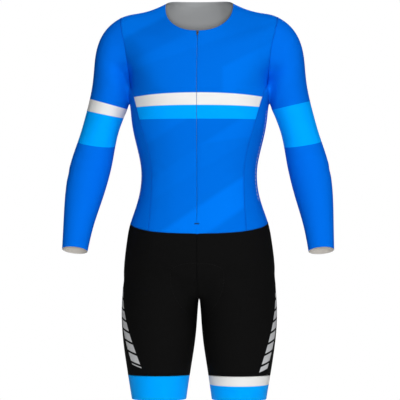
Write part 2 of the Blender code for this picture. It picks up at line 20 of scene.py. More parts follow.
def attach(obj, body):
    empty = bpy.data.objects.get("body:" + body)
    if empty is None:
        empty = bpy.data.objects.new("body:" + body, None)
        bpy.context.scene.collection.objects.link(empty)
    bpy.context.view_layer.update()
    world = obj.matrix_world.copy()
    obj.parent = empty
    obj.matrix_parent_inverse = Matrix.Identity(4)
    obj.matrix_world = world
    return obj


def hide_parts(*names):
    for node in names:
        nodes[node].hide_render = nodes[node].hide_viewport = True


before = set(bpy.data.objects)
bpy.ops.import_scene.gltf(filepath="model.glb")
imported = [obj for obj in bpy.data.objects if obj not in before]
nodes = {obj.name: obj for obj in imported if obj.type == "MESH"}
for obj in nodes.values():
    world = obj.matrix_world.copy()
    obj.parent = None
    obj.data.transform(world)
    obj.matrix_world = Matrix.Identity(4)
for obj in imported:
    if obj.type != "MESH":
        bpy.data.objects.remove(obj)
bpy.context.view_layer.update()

MM = 0.001
DOUBLES = 0.01 * MM

# %% [markdown]
# A few small helpers are used all the way down. The first makes one object active and alone
# selected, because an operator acts on all that is selected, and the second runs an operator on
# the whole of one mesh. The third turns an sRGB hex value into Blender's linear colour. The fourth
# adds one node with its settings and its links, so that a material reads as a list of its nodes.
# The others read and write all the points of a mesh at once, as one array, which is far quicker
# than one by one, and find the points on its open border, where an edge has only one face.

# %% Helpers for objects, colours and nodes
def activate(piece):
    bpy.ops.object.select_all(action="DESELECT")
    piece.select_set(True)
    bpy.context.view_layer.objects.active = piece


def edit_all(piece, operator, **settings):
    activate(piece)
    bpy.ops.object.mode_set(mode="EDIT")
    bpy.ops.mesh.select_all(action="SELECT")
    operator(**settings)
    bpy.ops.object.mode_set(mode="OBJECT")


def linear(hex_colour):
    channels = [int(hex_colour[place:place + 2], 16) / 255 for place in (1, 3, 5)]
    return tuple(c / 12.92 if c <= 0.04045 else ((c + 0.055) / 1.055) ** 2.4 for c in channels) + (1.0,)


def add_node(tree, kind, sockets=None, **settings):
    node = tree.nodes.new("ShaderNode" + kind)
    for name, value in settings.items():
        setattr(node, name, value)
    for socket, value in (sockets or {}).items():
        if isinstance(value, bpy.types.NodeSocket):
            tree.links.new(value, node.inputs[socket])
        else:
            node.inputs[socket].default_value = value
    return node


def places_of(piece):
    places = np.empty(len(piece.data.vertices) * 3)
    piece.data.vertices.foreach_get("co", places)
    return places.reshape(-1, 3)


def normals_of(piece):
    normals = np.empty(len(piece.data.vertices) * 3, np.float32)
    piece.data.vertex_normals.foreach_get("vector", normals)
    return normals.reshape(-1, 3).astype(float)


def set_places(piece, places):
    piece.data.vertices.foreach_set("co", places.astype(np.float32).ravel())
    piece.data.update()


def border_points(piece):
    counts = np.zeros(len(piece.data.edges), int)
    loop_edges = np.empty(len(piece.data.loops), np.int32)
    piece.data.loops.foreach_get("edge_index", loop_edges)
    np.add.at(counts, loop_edges, 1)
    ends = np.empty(len(piece.data.edges) * 2, np.int32)
    piece.data.edges.foreach_get("vertices", ends)
    return np.unique(ends.reshape(-1, 2)[counts == 1])


print("helpers ready, for", len(nodes), "nodes")

# %% [markdown]
# The picture is taken straight from the front, from chest height, with a long lens that keeps both
# sleeves in proportion. The camera comes first, so that every later step can be looked at. It
# stands 3 degrees round to the wearer's left, and one metre of height fills the frame.

# %% Camera
CAMERA_AZIMUTH = math.radians(3)
CAMERA_DISTANCE = 5.0
CAMERA_TARGET = Vector((2.0, 0, -486.3)) * MM
SENSOR = 36
FRAME_HEIGHT = 1.0

camera_data = bpy.data.cameras.new("camera")
camera_data.sensor_width = SENSOR
camera_data.lens = SENSOR * CAMERA_DISTANCE / FRAME_HEIGHT
camera = bpy.data.objects.new("camera", camera_data)
bpy.context.scene.collection.objects.link(camera)
towards_camera = Vector((math.sin(CAMERA_AZIMUTH), -math.cos(CAMERA_AZIMUTH), 0))
camera.location = CAMERA_TARGET + CAMERA_DISTANCE * towards_camera
camera.rotation_euler = (math.radians(90), 0, CAMERA_AZIMUTH)
bpy.context.scene.camera = camera
print("camera lens in mm:", round(camera_data.lens))

# %% [markdown]
# A catalogue lights cloth from beside the camera, so the middle of each tube is bright and its
# edges fall away to dark. One soft box stands at the camera and one hangs high to its right, which
# models the shoulders and the folds. A weak one comes from the right side, and one behind the suit
# lights the views from the back. The background is plain white. The floor is pale and lies where
# the wearer's feet would be.

# %% Light, background and floor
SoftBox = namedtuple("SoftBox", "name azimuth elevation distance size watts")
SOFT_BOXES = (
    SoftBox("high key", 20, 60, 5.0, 0.9, 128),
    SoftBox("front", 3, 0, 5.0, 0.9, 137),
    SoftBox("right side", 52, 0, 5.0, 0.9, 26),
    SoftBox("back", 180, 22, 5.0, 1.6, 190),
)
FLOOR_BELOW_SHOULDERS = 1.48
FLOOR_SIZE = 8.0
AMBIENT = 0.01

for box in SOFT_BOXES:
    azimuth, elevation = math.radians(box.azimuth), math.radians(box.elevation)
    level = math.cos(elevation)
    out = Vector((math.sin(azimuth) * level, -math.cos(azimuth) * level, math.sin(elevation)))
    lamp_data = bpy.data.lights.new(box.name, "AREA")
    lamp_data.size, lamp_data.energy = box.size, box.watts
    lamp = bpy.data.objects.new(box.name, lamp_data)
    lamp.location = CAMERA_TARGET + box.distance * out
    lamp.rotation_euler = out.to_track_quat("Z", "Y").to_euler()
    bpy.context.scene.collection.objects.link(lamp)

world = bpy.data.worlds.new("studio")
world.use_nodes = True
world.node_tree.nodes.clear()
seen = add_node(world.node_tree, "LightPath").outputs["Is Camera Ray"]
strength = add_node(world.node_tree, "Mix", {0: seen, 2: AMBIENT, 3: 1.0}, data_type="FLOAT").outputs[0]
white_room = add_node(world.node_tree, "Background", {"Color": (1, 1, 1, 1), "Strength": strength})
add_node(world.node_tree, "OutputWorld", {"Surface": white_room.outputs[0]})
bpy.context.scene.world = world
bpy.context.scene.view_settings.view_transform = "Standard"

bpy.ops.object.select_all(action="DESELECT")
bpy.ops.mesh.primitive_plane_add(size=FLOOR_SIZE, location=(0, 0, -FLOOR_BELOW_SHOULDERS))
floor = bpy.context.object
floor.name = "floor"
paper = bpy.data.materials.new("matt white paper")
paper.use_nodes = True
matt = paper.node_tree.nodes["Principled BSDF"].inputs
matt["Base Color"].default_value = linear("#F4F4F2")
matt["Roughness"].default_value = 0.9
floor.data.materials.append(paper)
print("lit by", [box.name for box in SOFT_BOXES])

# %% [markdown]
# Each panel of the frame is a closed wall 1.5 mm thick. Its outer face could be found by its sharp
# borders, but at the crotch and the armpit the borders are not sharp. The wall's own thickness is
# the surer sign: only the narrow faces along a border have an edge that short. So those go, the
# wall falls into an outer and an inner sheet, and the larger one is the outer face. Its triangles
# pair up into quads, which smooth far better.

# %% The outer face of each panel
CLOTH = (
    "front_left", "front_right", "back_panel", "side_left", "side_right",
    "sleeve_left", "sleeve_right",
    "shorts_front_left", "shorts_front_right", "shorts_back_left", "shorts_back_right",
    "grip_left", "grip_right",
)
SHORT_EDGE = 2 * MM


def area_of(piece):
    return sum(face.area for face in piece.data.polygons)


def welded_copy(name, copy_name):
    """A copy of a frame's solid, with the doubled corners of its triangles merged."""
    piece = bpy.data.objects.new(copy_name, nodes[name].data.copy())
    bpy.context.scene.collection.objects.link(piece)
    activate(piece)
    bpy.ops.mesh.customdata_custom_splitnormals_clear()
    edit_all(piece, bpy.ops.mesh.remove_doubles, threshold=DOUBLES)
    return piece


def outer_face(name):
    sheet = welded_copy(name, name + "_outer")
    bpy.ops.object.mode_set(mode="EDIT")
    bpy.ops.mesh.select_all(action="DESELECT")
    bpy.ops.mesh.select_mode(type="EDGE")
    bpy.ops.object.mode_set(mode="OBJECT")
    places = places_of(sheet)
    for edge in sheet.data.edges:
        start, end = edge.vertices
        edge.select = bool(np.linalg.norm(places[start] - places[end]) < SHORT_EDGE)
    bpy.ops.object.mode_set(mode="EDIT")
    bpy.ops.mesh.delete(type="EDGE")
    bpy.ops.mesh.select_all(action="SELECT")
    bpy.ops.mesh.delete_loose()
    bpy.ops.mesh.select_all(action="SELECT")
    bpy.ops.mesh.separate(type="LOOSE")
    bpy.ops.object.mode_set(mode="OBJECT")
    sheets = sorted(bpy.context.selected_objects, key=area_of)
    for spare in sheets[:-1]:
        bpy.data.objects.remove(spare)
    edit_all(sheets[-1], bpy.ops.mesh.tris_convert_to_quads,
             face_threshold=math.pi, shape_threshold=math.pi, topology_influence=2.0)
    return sheets[-1]


outer_faces = []
for number, name in enumerate(CLOTH):
    sheet = outer_face(name)
    mark = sheet.data.attributes.new("panel", "INT", "FACE")
    mark.data.foreach_set("value", [number] * len(sheet.data.polygons))
    outer_faces.append(sheet)
    print(f"{name}: {len(sheet.data.polygons)} faces, {area_of(sheet) * 1e4:.0f} cm2")

# %% [markdown]
# The panels lie 0.3 mm apart at their seams. Sewn together they would crease at each seam if every
# panel were smoothed alone, so they are joined first, their facing borders are merged, and only
# then is the whole skin subdivided. The zip's slot is 2.6 mm wide, too wide to merge, and stays
# open.

# %% One skin
SEAM_MERGE = 0.6 * MM

bpy.ops.object.select_all(action="DESELECT")
for sheet in outer_faces:
    sheet.select_set(True)
bpy.context.view_layer.objects.active = outer_faces[0]
bpy.ops.object.join()
skin = outer_faces[0]
skin.name = "skin"
skin.data.materials.clear()
edit_all(skin, bpy.ops.mesh.remove_doubles, threshold=SEAM_MERGE)
corners = [len(face.vertices) for face in skin.data.polygons]
print("skin:", corners.count(4), "quads and", corners.count(3), "triangles")

# %% [markdown]
# Cloth is cut flat, and its knit runs up each flat piece. The skin is therefore unwrapped into its
# pattern pieces while it is still coarse. An edge where two panels meet is a seam. A sleeve and a
# grip band are tubes, so each is also slit where a maker sews it, under the arm and inside the
# leg, along the shortest way from rim to rim.

# %% Seams for the cut
TUBES = {
    "sleeve_left": "underarm", "sleeve_right": "underarm",
    "grip_left": "inner leg", "grip_right": "inner leg",
}


def face_panels(piece):
    panels = np.empty(len(piece.data.polygons), np.int32)
    piece.data.attributes["panel"].data.foreach_get("value", panels)
    return panels


def edge_panels(piece):
    """The panels beside each edge: the same one twice inside a panel, and only one on a border."""
    panels = face_panels(piece)
    found = [[] for _ in piece.data.edges]
    for face, panel in zip(piece.data.polygons, panels):
        for loop in face.loop_indices:
            found[piece.data.loops[loop].edge_index].append(int(panel))
    return found


for edge, panels in zip(skin.data.edges, edge_panels(skin)):
    edge.use_seam = len(set(panels)) == 2

places = places_of(skin)
panels = face_panels(skin)
for name in TUBES:
    rims = [[], []]
    for edge, sides in zip(skin.data.edges, edge_panels(skin)):
        if CLOTH.index(name) in sides and len(sides) == 1:
            rims[0] += edge.vertices
        if CLOTH.index(name) in sides and len(set(sides)) == 2:
            rims[1] += edge.vertices
    inward = -1 if name.endswith("left") else 1
    low_end = max(rims[0], key=lambda v: inward * places[v][0])
    if name.startswith("sleeve"):
        high_end = min(rims[1], key=lambda v: places[v][2])
    else:
        high_end = max(rims[1], key=lambda v: inward * places[v][0])
    activate(skin)
    bpy.ops.object.mode_set(mode="EDIT")
    bpy.ops.mesh.select_mode(type="VERT")
    bpy.ops.mesh.select_all(action="DESELECT")
    bpy.ops.object.mode_set(mode="OBJECT")
    for v in (low_end, high_end):
        skin.data.vertices[v].select = True
    bpy.ops.object.mode_set(mode="EDIT")
    bpy.ops.mesh.shortest_path_select(use_topology_distance=True)
    bpy.ops.mesh.mark_seam()
    bpy.ops.object.mode_set(mode="OBJECT")
    slit = sum(v.select for v in skin.data.vertices)
    print(f"{name}: slit at the {TUBES[name]} along", slit, "points")

# %% [markdown]
# The unwrap lays every piece flat at a scale and a turn of its own. So each piece is scaled until
# its flat area is its real area in metres. It is then turned so that its grain points up, which a
# least-squares fit of the height over the flat place finds. Its width, length and area are the
# worn size of the cut.

# %% Unwrap into flat pattern pieces
edit_all(skin, bpy.ops.uv.unwrap, method="ANGLE_BASED", margin=0.001)
grain = skin.data.uv_layers.active
grain.name = "grain"
flat = np.empty(len(skin.data.loops) * 2)
grain.data.foreach_get("uv", flat)
flat = flat.reshape(-1, 2)
loop_vertices = np.empty(len(skin.data.loops), np.int32)
skin.data.loops.foreach_get("vertex_index", loop_vertices)

Cut = namedtuple("Cut", "width length area")
worn_cut = {}
for number, name in enumerate(CLOTH):
    faces = [face for face, panel in zip(skin.data.polygons, panels) if panel == number]
    loops = np.array([loop for face in faces for loop in face.loop_indices])
    flat_area = 0.0
    for face in faces:
        u, v = flat[list(face.loop_indices)].T
        flat_area += abs(np.dot(u, np.roll(v, -1)) - np.dot(v, np.roll(u, -1))) / 2
    real_area = sum(face.area for face in faces)
    piece = (flat[loops] - flat[loops].mean(0)) * math.sqrt(real_area / flat_area)
    heights = places[loop_vertices[loops]][:, 2]
    (slope_u, slope_v), *_ = np.linalg.lstsq(piece, heights - heights.mean(), rcond=None)
    turn = math.atan2(slope_u, slope_v)
    piece = piece @ np.array(((math.cos(turn), math.sin(turn)), (-math.sin(turn), math.cos(turn))))
    flat[loops] = piece
    worn_cut[name] = Cut(*(piece.max(0) - piece.min(0)), real_area)
    print(f"{name}: {worn_cut[name].width / MM:.0f} x {worn_cut[name].length / MM:.0f} mm worn,",
          f"{real_area * 1e4:.0f} cm2")
grain.data.foreach_set("uv", flat.ravel())

# %% [markdown]
# Two levels of Catmull-Clark subdivision turn the coarse skin into a smooth one, and carry the
# grain and the panel numbers down to the small faces. Corners are kept, so that the neckline stays
# square where it meets the zip. One point of each armhole seam stands a little out of line at the
# shoulder, so it is eased first.

# %% Subdivide the skin
SHOULDER_KINK = Vector((188, -40, -60)) * MM
KINK_EASED = 5.0 * MM
SLOT_LIES_ABOVE = -600 * MM

for hand in (-1, 1):
    kink = Vector((hand * SHOULDER_KINK.x, SHOULDER_KINK.y, SHOULDER_KINK.z))
    corner = min(skin.data.vertices, key=lambda v: (v.co - kink).length)
    print("seam point eased at", [round(part / MM, 1) for part in corner.co])
    corner.co.x += hand * KINK_EASED
upper_border = [v for v in border_points(skin) if places[v][2] >= SLOT_LIES_ABOVE]
slot_foot = min(upper_border, key=lambda v: abs(places[v][0]) + places[v][2])
sharp = skin.data.attributes.new("crease_vert", "FLOAT", "POINT")
sharp.data[slot_foot].value = 1.0
print("slot's foot kept at", [round(part / MM, 1) for part in places[slot_foot]])
activate(skin)
subdivision = skin.modifiers.new("smooth knit", "SUBSURF")
subdivision.levels = subdivision.render_levels = 2
subdivision.boundary_smooth = "PRESERVE_CORNERS"
bpy.ops.object.modifier_apply(modifier=subdivision.name)
print("fine skin:", len(skin.data.polygons), "faces; panels", sorted(set(face_panels(skin).tolist())))

# %% [markdown]
# The strongest form in the picture is the hollow where each sleeve meets the chest. The sleeve
# turns in towards the armhole seam, and the chest dips to meet it, deepest at the height of the
# armpit. It follows the seam itself, with a short slope on either side of it. A station says, in
# millimetres, how deep the hollow is at a height of the seam and how far it reaches over the
# sleeve and over the body. Above the armpit the upper arm dips too, with a steeper flank under the
# shoulder. The two sides differ a little, and the hollows behind are much shallower.

# %% Hollows along the armhole seams
Station = namedtuple("Station", "height depth on_sleeve on_body")
HOLLOWS = {
    ("front_right", "sleeve_right"): (
        Station(-84, 0, 16, 10), Station(-124, 3, 14, 10), Station(-158, 13, 13, 12),
        Station(-184, 23, 11, 12), Station(-222, 26, 10, 12), Station(-246, 16, 9, 11),
        Station(-266, 0, 8, 9),
    ),
    ("front_left", "sleeve_left"): (
        Station(-90, 0, 16, 10), Station(-134, 5, 14, 10), Station(-164, 15, 13, 12),
        Station(-190, 24, 12, 12), Station(-226, 25, 11, 12), Station(-248, 15, 9, 10),
        Station(-266, 0, 8, 9),
    ),
    ("back_panel", "sleeve_right"): (
        Station(-90, 0, 16, 14), Station(-150, 2.5, 16, 14), Station(-196, 5, 13, 15),
        Station(-240, 4, 11, 13), Station(-262, 0, 10, 12),
    ),
    ("back_panel", "sleeve_left"): (
        Station(-84, 0, 15, 13), Station(-142, 2, 16, 14), Station(-204, 5.5, 12, 16),
        Station(-244, 3.5, 11, 12), Station(-262, 0, 10, 11),
    ),
}
HOLLOW_FACES, HOLLOW_FADE = 0.35, 0.4
Dip = namedtuple("Dip", "x z depth outwards inwards upwards downwards slant")
DIPS = [
    Dip(*(size * MM for size in row[:-1]), row[-1])
    for row in (
        (-173, -168, 13, 38, 10, 14, 22, 0.38),
        (173, -178, 12, 42, 10, 15, 20, 0.5),
    )
]
DIP_FACES, DIP_FADE = 0.1, 0.4
DIP_SLANTS_TO = 60 * MM


def seam_vertices(piece, first, second):
    pair = {CLOTH.index(first), CLOTH.index(second)}
    found = set()
    for edge, sides in zip(piece.data.edges, edge_panels(piece)):
        if set(sides) == pair:
            found.update(edge.vertices)
    return sorted(found)


places, normals = places_of(skin), normals_of(skin)
on_sleeve = np.zeros(len(places), bool)
for face, panel in zip(skin.data.polygons, face_panels(skin)):
    if CLOTH[panel].startswith("sleeve"):
        on_sleeve[list(face.vertices)] = True
moves = np.zeros(len(places))
for (body_panel, sleeve_panel), stations in HOLLOWS.items():
    line = places[seam_vertices(skin, body_panel, sleeve_panel)]
    heights, depths, sleeve_widths, body_widths = np.array(stations[::-1]).T * MM
    inwards = 1 if body_panel.startswith("front") else -1
    same_side = places[:, 0] * line[0, 0] > 0
    faces_out = normals[:, 1] * inwards < HOLLOW_FACES
    near = np.flatnonzero(same_side & faces_out & (places[:, 2] < 0))
    gaps = np.linalg.norm(places[near, None] - line[None], axis=2)
    height = line[gaps.argmin(1), 2]
    sleeve_width = np.interp(height, heights, sleeve_widths)
    body_width = np.interp(height, heights, body_widths)
    width = np.where(on_sleeve[near], sleeve_width, body_width)
    facing = np.clip((HOLLOW_FACES - inwards * normals[near, 1]) / HOLLOW_FADE, 0, 1)
    profile = np.exp(-(gaps.min(1) / width))
    moves[near] += inwards * np.interp(height, heights, depths) * facing * profile
for dip in DIPS:
    beyond = (places[:, 0] - dip.x) * np.sign(dip.x)
    above_axis = places[:, 2] - dip.z - dip.slant * np.clip(beyond, 0, DIP_SLANTS_TO)
    across = beyond / np.where(beyond > 0, dip.outwards, dip.inwards)
    along = above_axis / np.where(above_axis > 0, dip.upwards, dip.downwards)
    facing = np.clip((-normals[:, 1] - DIP_FACES) / DIP_FADE, 0, 1)
    moves += dip.depth * facing * np.exp(-(across ** 2) - along ** 2)
places[:, 1] += moves
set_places(skin, places)
print("armhole hollows: deepest", round(moves.max() / MM, 1), "mm in front and",
      round(-moves.min() / MM, 1), "mm behind")

# %% [markdown]
# Warp knit with elastane lies smooth, so the suit has few creases, and they are faint: pulls from
# the armpits, rolls inside the elbows, small folds at the waist and where the thighs join, and the
# same on the back. Cloth simulation would not put them where the picture shows them, so each is
# listed as a line on one side of the suit, with its own length, bow, width and depth in
# millimetres. A real fold has a low swell beside its trough, so the profile has one too.

# %% Creases, listed one by one
Crease = namedtuple("Crease", "seen_from across_1 height_1 across_2 height_2 bow width depth")
CREASES = [
    Crease(row[0], *(size * MM for size in row[1:]))
    for row in (
        # pulls that run out of the armpits
        ("front", -160, -196, -100, -170, 6, 14, 0.7),
        ("front", -165, -214, -88, -206, -5, 12, 0.5),
        ("front", 161, -190, 112, -158, -7, 13, 0.6),
        ("front", 164, -212, 96, -210, 4, 12, 0.5),
        # inside the elbows
        ("front", -232, -352, -290, -336, 7, 8, 0.9),
        ("front", -236, -384, -304, -380, 6, 9, 1.0),
        ("front", -240, -418, -296, -432, -5, 7, 0.7),
        ("front", 234, -358, 288, -340, -6, 8, 0.8),
        ("front", 238, -394, 306, -386, 7, 9, 1.0),
        ("front", 244, -430, 300, -446, 6, 8, 0.7),
        # forearms, above the cuffs
        ("front", -276, -560, -322, -548, 5, 7, 0.5),
        ("front", 280, -548, 326, -560, -5, 7, 0.5),
        # waist
        ("front", -122, -402, -74, -424, 7, 9, 0.7),
        ("front", -120, -448, -60, -440, -6, 10, 0.7),
        ("front", 124, -412, 66, -436, -8, 10, 0.7),
        ("front", 120, -466, 78, -458, 5, 8, 0.6),
        # groin, running up and out from the crotch
        ("front", -14, -700, -92, -640, 10, 10, 1.3),
        ("front", -10, -712, -70, -690, 6, 7, 0.9),
        ("front", 13, -702, 96, -634, -11, 10, 1.3),
        ("front", 11, -714, 64, -696, -6, 7, 0.8),
        ("front", -40, -800, -110, -782, 7, 9, 0.5),
        ("front", 46, -812, 104, -790, -7, 9, 0.5),
        # back of the armpits and over the shoulder blades
        ("back", -182, -150, -168, -236, -8, 15, 2.6),
        ("back", 184, -146, 170, -240, 8, 15, 2.6),
        ("back", -164, -206, -84, -180, 8, 10, 1.2),
        ("back", -166, -230, -96, -236, -6, 9, 0.9),
        ("back", 166, -200, 92, -172, -9, 10, 1.2),
        ("back", 168, -228, 78, -240, 6, 9, 1.0),
        ("back", -52, -60, -112, -84, 6, 12, 0.7),
        ("back", 56, -56, 106, -86, -6, 12, 0.7),
        # small of the back
        ("back", -100, -400, -12, -420, 9, 11, 1.4),
        ("back", -106, -440, -30, -452, -7, 10, 1.1),
        ("back", 102, -408, 6, -432, -9, 11, 1.4),
        ("back", 98, -452, 24, -466, 8, 10, 1.0),
        ("back", -84, -492, 40, -500, 9, 12, 0.9),
        # elbows from behind
        ("back", -250, -338, -300, -356, 6, 9, 1.0),
        ("back", -256, -376, -316, -390, -6, 9, 0.8),
        ("back", 252, -344, 306, -360, -6, 9, 1.0),
        ("back", 258, -384, 312, -400, 6, 8, 0.8),
        # under the seat
        ("back", -18, -742, -96, -722, 9, 10, 1.6),
        ("back", -26, -770, -110, -756, 7, 9, 1.0),
        ("back", 20, -746, 104, -718, -9, 10, 1.6),
        ("back", 24, -776, 100, -764, -7, 9, 0.9),
        # thighs from the side
        ("left", -46, -668, 30, -690, 8, 12, 0.8),
        ("left", 58, -640, 6, -622, -7, 11, 0.7),
        ("right", -40, -676, 36, -682, -8, 12, 0.8),
        ("right", 50, -632, -4, -620, 7, 11, 0.7),
        ("left", -44, -412, 22, -424, 6, 10, 0.9),
        ("right", -38, -420, 26, -410, -6, 10, 0.9),
    )
]
SEEN_FROM = {
    "front": Vector((0, -1, 0)), "back": Vector((0, 1, 0)),
    "left": Vector((1, 0, 0)), "right": Vector((-1, 0, 0)),
}
CREASE_SAMPLES = 18
CREASE_REACH = 3.2
CREASE_TAPER = 0.7
CREASE_TURNED_AWAY = -0.3
SWELL_SHARE, SWELL_AWAY, SWELL_WIDTH = 0.35, 1.7, 0.8


def surface_tree(*pieces):
    """A search tree over the faces of all these pieces."""
    points, faces = [], []
    for piece in pieces:
        start = len(points)
        points += [v.co for v in piece.data.vertices]
        faces += [tuple(v + start for v in face.vertices) for face in piece.data.polygons]
    return BVHTree.FromPolygons(points, faces)


def on_surface(tree, side, across, height):
    """The point and normal of the skin at that place, as seen from that side."""
    out = SEEN_FROM[side]
    place = Vector((across, 0, height)) if out.y else Vector((0, across, height))
    point, normal, _, _ = tree.ray_cast(place + out, -out)
    return point, normal


def crease_line(tree, crease):
    start = np.array((crease.across_1, crease.height_1))
    end = np.array((crease.across_2, crease.height_2))
    along = (end - start) / np.linalg.norm(end - start)
    beside = np.array((-along[1], along[0]))
    line = []
    for share in np.linspace(0, 1, CREASE_SAMPLES):
        across, height = start + share * (end - start) + crease.bow * 4 * share * (1 - share) * beside
        point, _ = on_surface(tree, crease.seen_from, across, height)
        if point is not None:
            line.append((*point, math.sin(math.pi * share) ** CREASE_TAPER))
    return np.array(line)


tree = surface_tree(skin)
places, normals = places_of(skin), normals_of(skin)
moves = np.zeros(len(places))
for crease in CREASES:
    line = crease_line(tree, crease)
    out = np.array(SEEN_FROM[crease.seen_from])
    reach = CREASE_REACH * crease.width
    in_box = (places > line[:, :3].min(0) - reach) & (places < line[:, :3].max(0) + reach)
    near = np.flatnonzero(in_box.all(1) & (normals @ out > CREASE_TURNED_AWAY))
    gaps = np.linalg.norm(places[near, None] - line[None, :, :3], axis=2)
    nearest = gaps.argmin(1)
    away = gaps.min(1) / crease.width
    profile = -np.exp(-(away ** 2)) + SWELL_SHARE * np.exp(-(((away - SWELL_AWAY) / SWELL_WIDTH) ** 2))
    moves[near] += crease.depth * line[nearest, 3] * profile
set_places(skin, places + normals * moves[:, None])
print(len(CREASES), "creases, deepest", round(-moves.min() / MM, 1), "mm, highest swell",
      round(moves.max() / MM, 1), "mm")

# %% [markdown]
# The seat pad is sewn to the inside of the shorts, and its stitches pull the black knit down into
# a soft line. The outline is read from the pad's own size: round at the top, widest soon after,
# then narrowing to a point between the thighs. The knit sinks along it.

# %% The pad's outline pressed into the shorts
PadSide = namedtuple("PadSide", "seen_from top half_width")
PAD_SIDES = (PadSide("front", -641 * MM, 66 * MM), PadSide("back", -618 * MM, 84 * MM))
PAD_FOOT = -792 * MM
PAD_WIDEST_SHARE = 0.22
PAD_NARROWEST = 7 * MM
PAD_GROOVE_WIDTH = 4.5 * MM
PAD_GROOVE_DEPTH = 0.9 * MM
PAD_REGION = (-810 * MM, -600 * MM)
PAD_TOP_ROUND, PAD_SIDE_ROUND = 2.4, 2.1
PAD_STEPS, PAD_STEPS_CLOSER = 60, 1.6


def pad_half_width(side, share):
    """The outline's half width at that share of its height, from the top down."""
    if share < PAD_WIDEST_SHARE:
        return side.half_width * (1 - (1 - share / PAD_WIDEST_SHARE) ** 3) ** (1 / PAD_TOP_ROUND)
    below_widest = (share - PAD_WIDEST_SHARE) / (1 - PAD_WIDEST_SHARE)
    return side.half_width * (1 - below_widest ** PAD_SIDE_ROUND)


def pad_outline(tree, side, hand):
    """Half of the outline, from its top's middle round to its foot: points and normals."""
    outline = []
    for step in range(PAD_STEPS + 1):
        share = (step / PAD_STEPS) ** PAD_STEPS_CLOSER
        across = pad_half_width(side, share)
        if share > PAD_WIDEST_SHARE:
            across = max(across, PAD_NARROWEST)
        height = side.top + share * (PAD_FOOT - side.top)
        point, normal = on_surface(tree, side.seen_from, hand * across, height)
        if point is not None:
            outline.append((*point, *normal))
    return np.array(outline)


tree = surface_tree(skin)
pad_outlines = [pad_outline(tree, side, hand) for side in PAD_SIDES for hand in (-1, 1)]
places, normals = places_of(skin), normals_of(skin)
line = np.concatenate(pad_outlines)[:, :3]
near = np.flatnonzero((places[:, 2] > PAD_REGION[0]) & (places[:, 2] < PAD_REGION[1]))
gaps = np.concatenate([
    np.linalg.norm(part[:, None] - line[None], axis=2).min(1)
    for part in np.array_split(places[near], 20)
])
sink = PAD_GROOVE_DEPTH * np.exp(-((gaps / PAD_GROOVE_WIDTH) ** 2))
places[near] -= normals[near] * sink[:, None]
set_places(skin, places)
print("pad outline:", [len(outline) for outline in pad_outlines], "points; knit sinks",
      round(sink.max() / MM, 2), "mm")

# %% [markdown]
# Seams are read from the skin before it is cut: wherever two panels meet, the edges between them
# form a line. Each line is kept with the skin's outward direction, so that threads can be laid on
# it later. The same direction is stored on the skin's points, and both neighbours of a seam will
# sink along it by the same amount.

# %% Seam lines and free edges
def chains(pairs):
    """Join edges, given as pairs of points, into lines of points that follow each other."""
    joined = {}
    for start, end in pairs:
        joined.setdefault(start, []).append(end)
        joined.setdefault(end, []).append(start)
    unused = {frozenset(pair) for pair in pairs}
    ends = [point for point, others in joined.items() if len(others) == 1]
    lines = []
    for start in ends + list(joined):
        while any(frozenset((start, other)) in unused for other in joined[start]):
            line, point = [start], start
            while True:
                following = [
                    other for other in joined[point] if frozenset((point, other)) in unused
                ]
                if not following:
                    break
                unused.discard(frozenset((point, following[0])))
                point = following[0]
                line.append(point)
            lines.append(line)
    return lines


places, normals = places_of(skin), normals_of(skin)
between = {}
free_points = {}
for edge, sides in zip(skin.data.edges, edge_panels(skin)):
    if len(sides) == 1:
        free_points.setdefault(CLOTH[sides[0]], set()).update(edge.vertices)
    elif sides[0] != sides[1]:
        between.setdefault(frozenset(CLOTH[side] for side in sides), []).append(tuple(edge.vertices))
Seam = namedtuple("Seam", "panels points normals")
SHORTEST_SEAM = 4
seams = [
    Seam(sorted(pair), places[line], normals[line])
    for pair, pairs in between.items()
    for line in chains(pairs)
    if len(line) >= SHORTEST_SEAM
]
seam_points = sorted({v for pairs in between.values() for pair in pairs for v in pair})
in_seam = np.zeros(len(places), np.float32)
in_seam[seam_points] = 1
skin.data.attributes.new("in_seam", "FLOAT", "POINT").data.foreach_set("value", in_seam)
out = skin.data.attributes.new("out", "FLOAT_VECTOR", "POINT")
out.data.foreach_set("vector", normals.astype(np.float32).ravel())
for seam in seams:
    length = np.linalg.norm(np.diff(seam.points, axis=0), axis=1).sum()
    print(" + ".join(seam.panels) + f": {length / MM:.0f} mm")

# %% [markdown]
# Now the skin is cut into its panels again. Each gets a narrow strip inset along its border, and
# where the border is a seam the strip's edge sinks by a third of a millimetre, so that two
# neighbours meet in a fine groove. At the zip the two edges are drawn closer over the coil, apart
# from the last stretch at the slider, which holds them open, and below the zip's foot they close.

# %% Cut the skin into panels
BORDER = 1.6 * MM
SEAM_SINK = 0.3 * MM
SLOT_HALF_WIDTH = 1.3 * MM
LIP_FROM_CENTRE = 0.5 * MM
LIP_REACH = 9 * MM
LIP_OPENS = (-92 * MM, -84 * MM)
SLOT_ENDS = (-548 * MM, -540 * MM)
CLOSED = 0.04 * MM

panel_pieces = {}
for number, name in enumerate(CLOTH):
    panels = face_panels(skin)
    if len(set(panels.tolist())) > 1:
        activate(skin)
        bpy.ops.object.mode_set(mode="EDIT")
        bpy.ops.mesh.select_mode(type="FACE")
        bpy.ops.mesh.select_all(action="DESELECT")
        bpy.ops.object.mode_set(mode="OBJECT")
        skin.data.polygons.foreach_set("select", panels == number)
        bpy.ops.object.mode_set(mode="EDIT")
        bpy.ops.mesh.separate(type="SELECTED")
        bpy.ops.object.mode_set(mode="OBJECT")
        piece = next(found for found in bpy.context.selected_objects if found != skin)
    else:
        piece = skin
    piece.name = name + "_cloth"
    panel_pieces[name] = piece

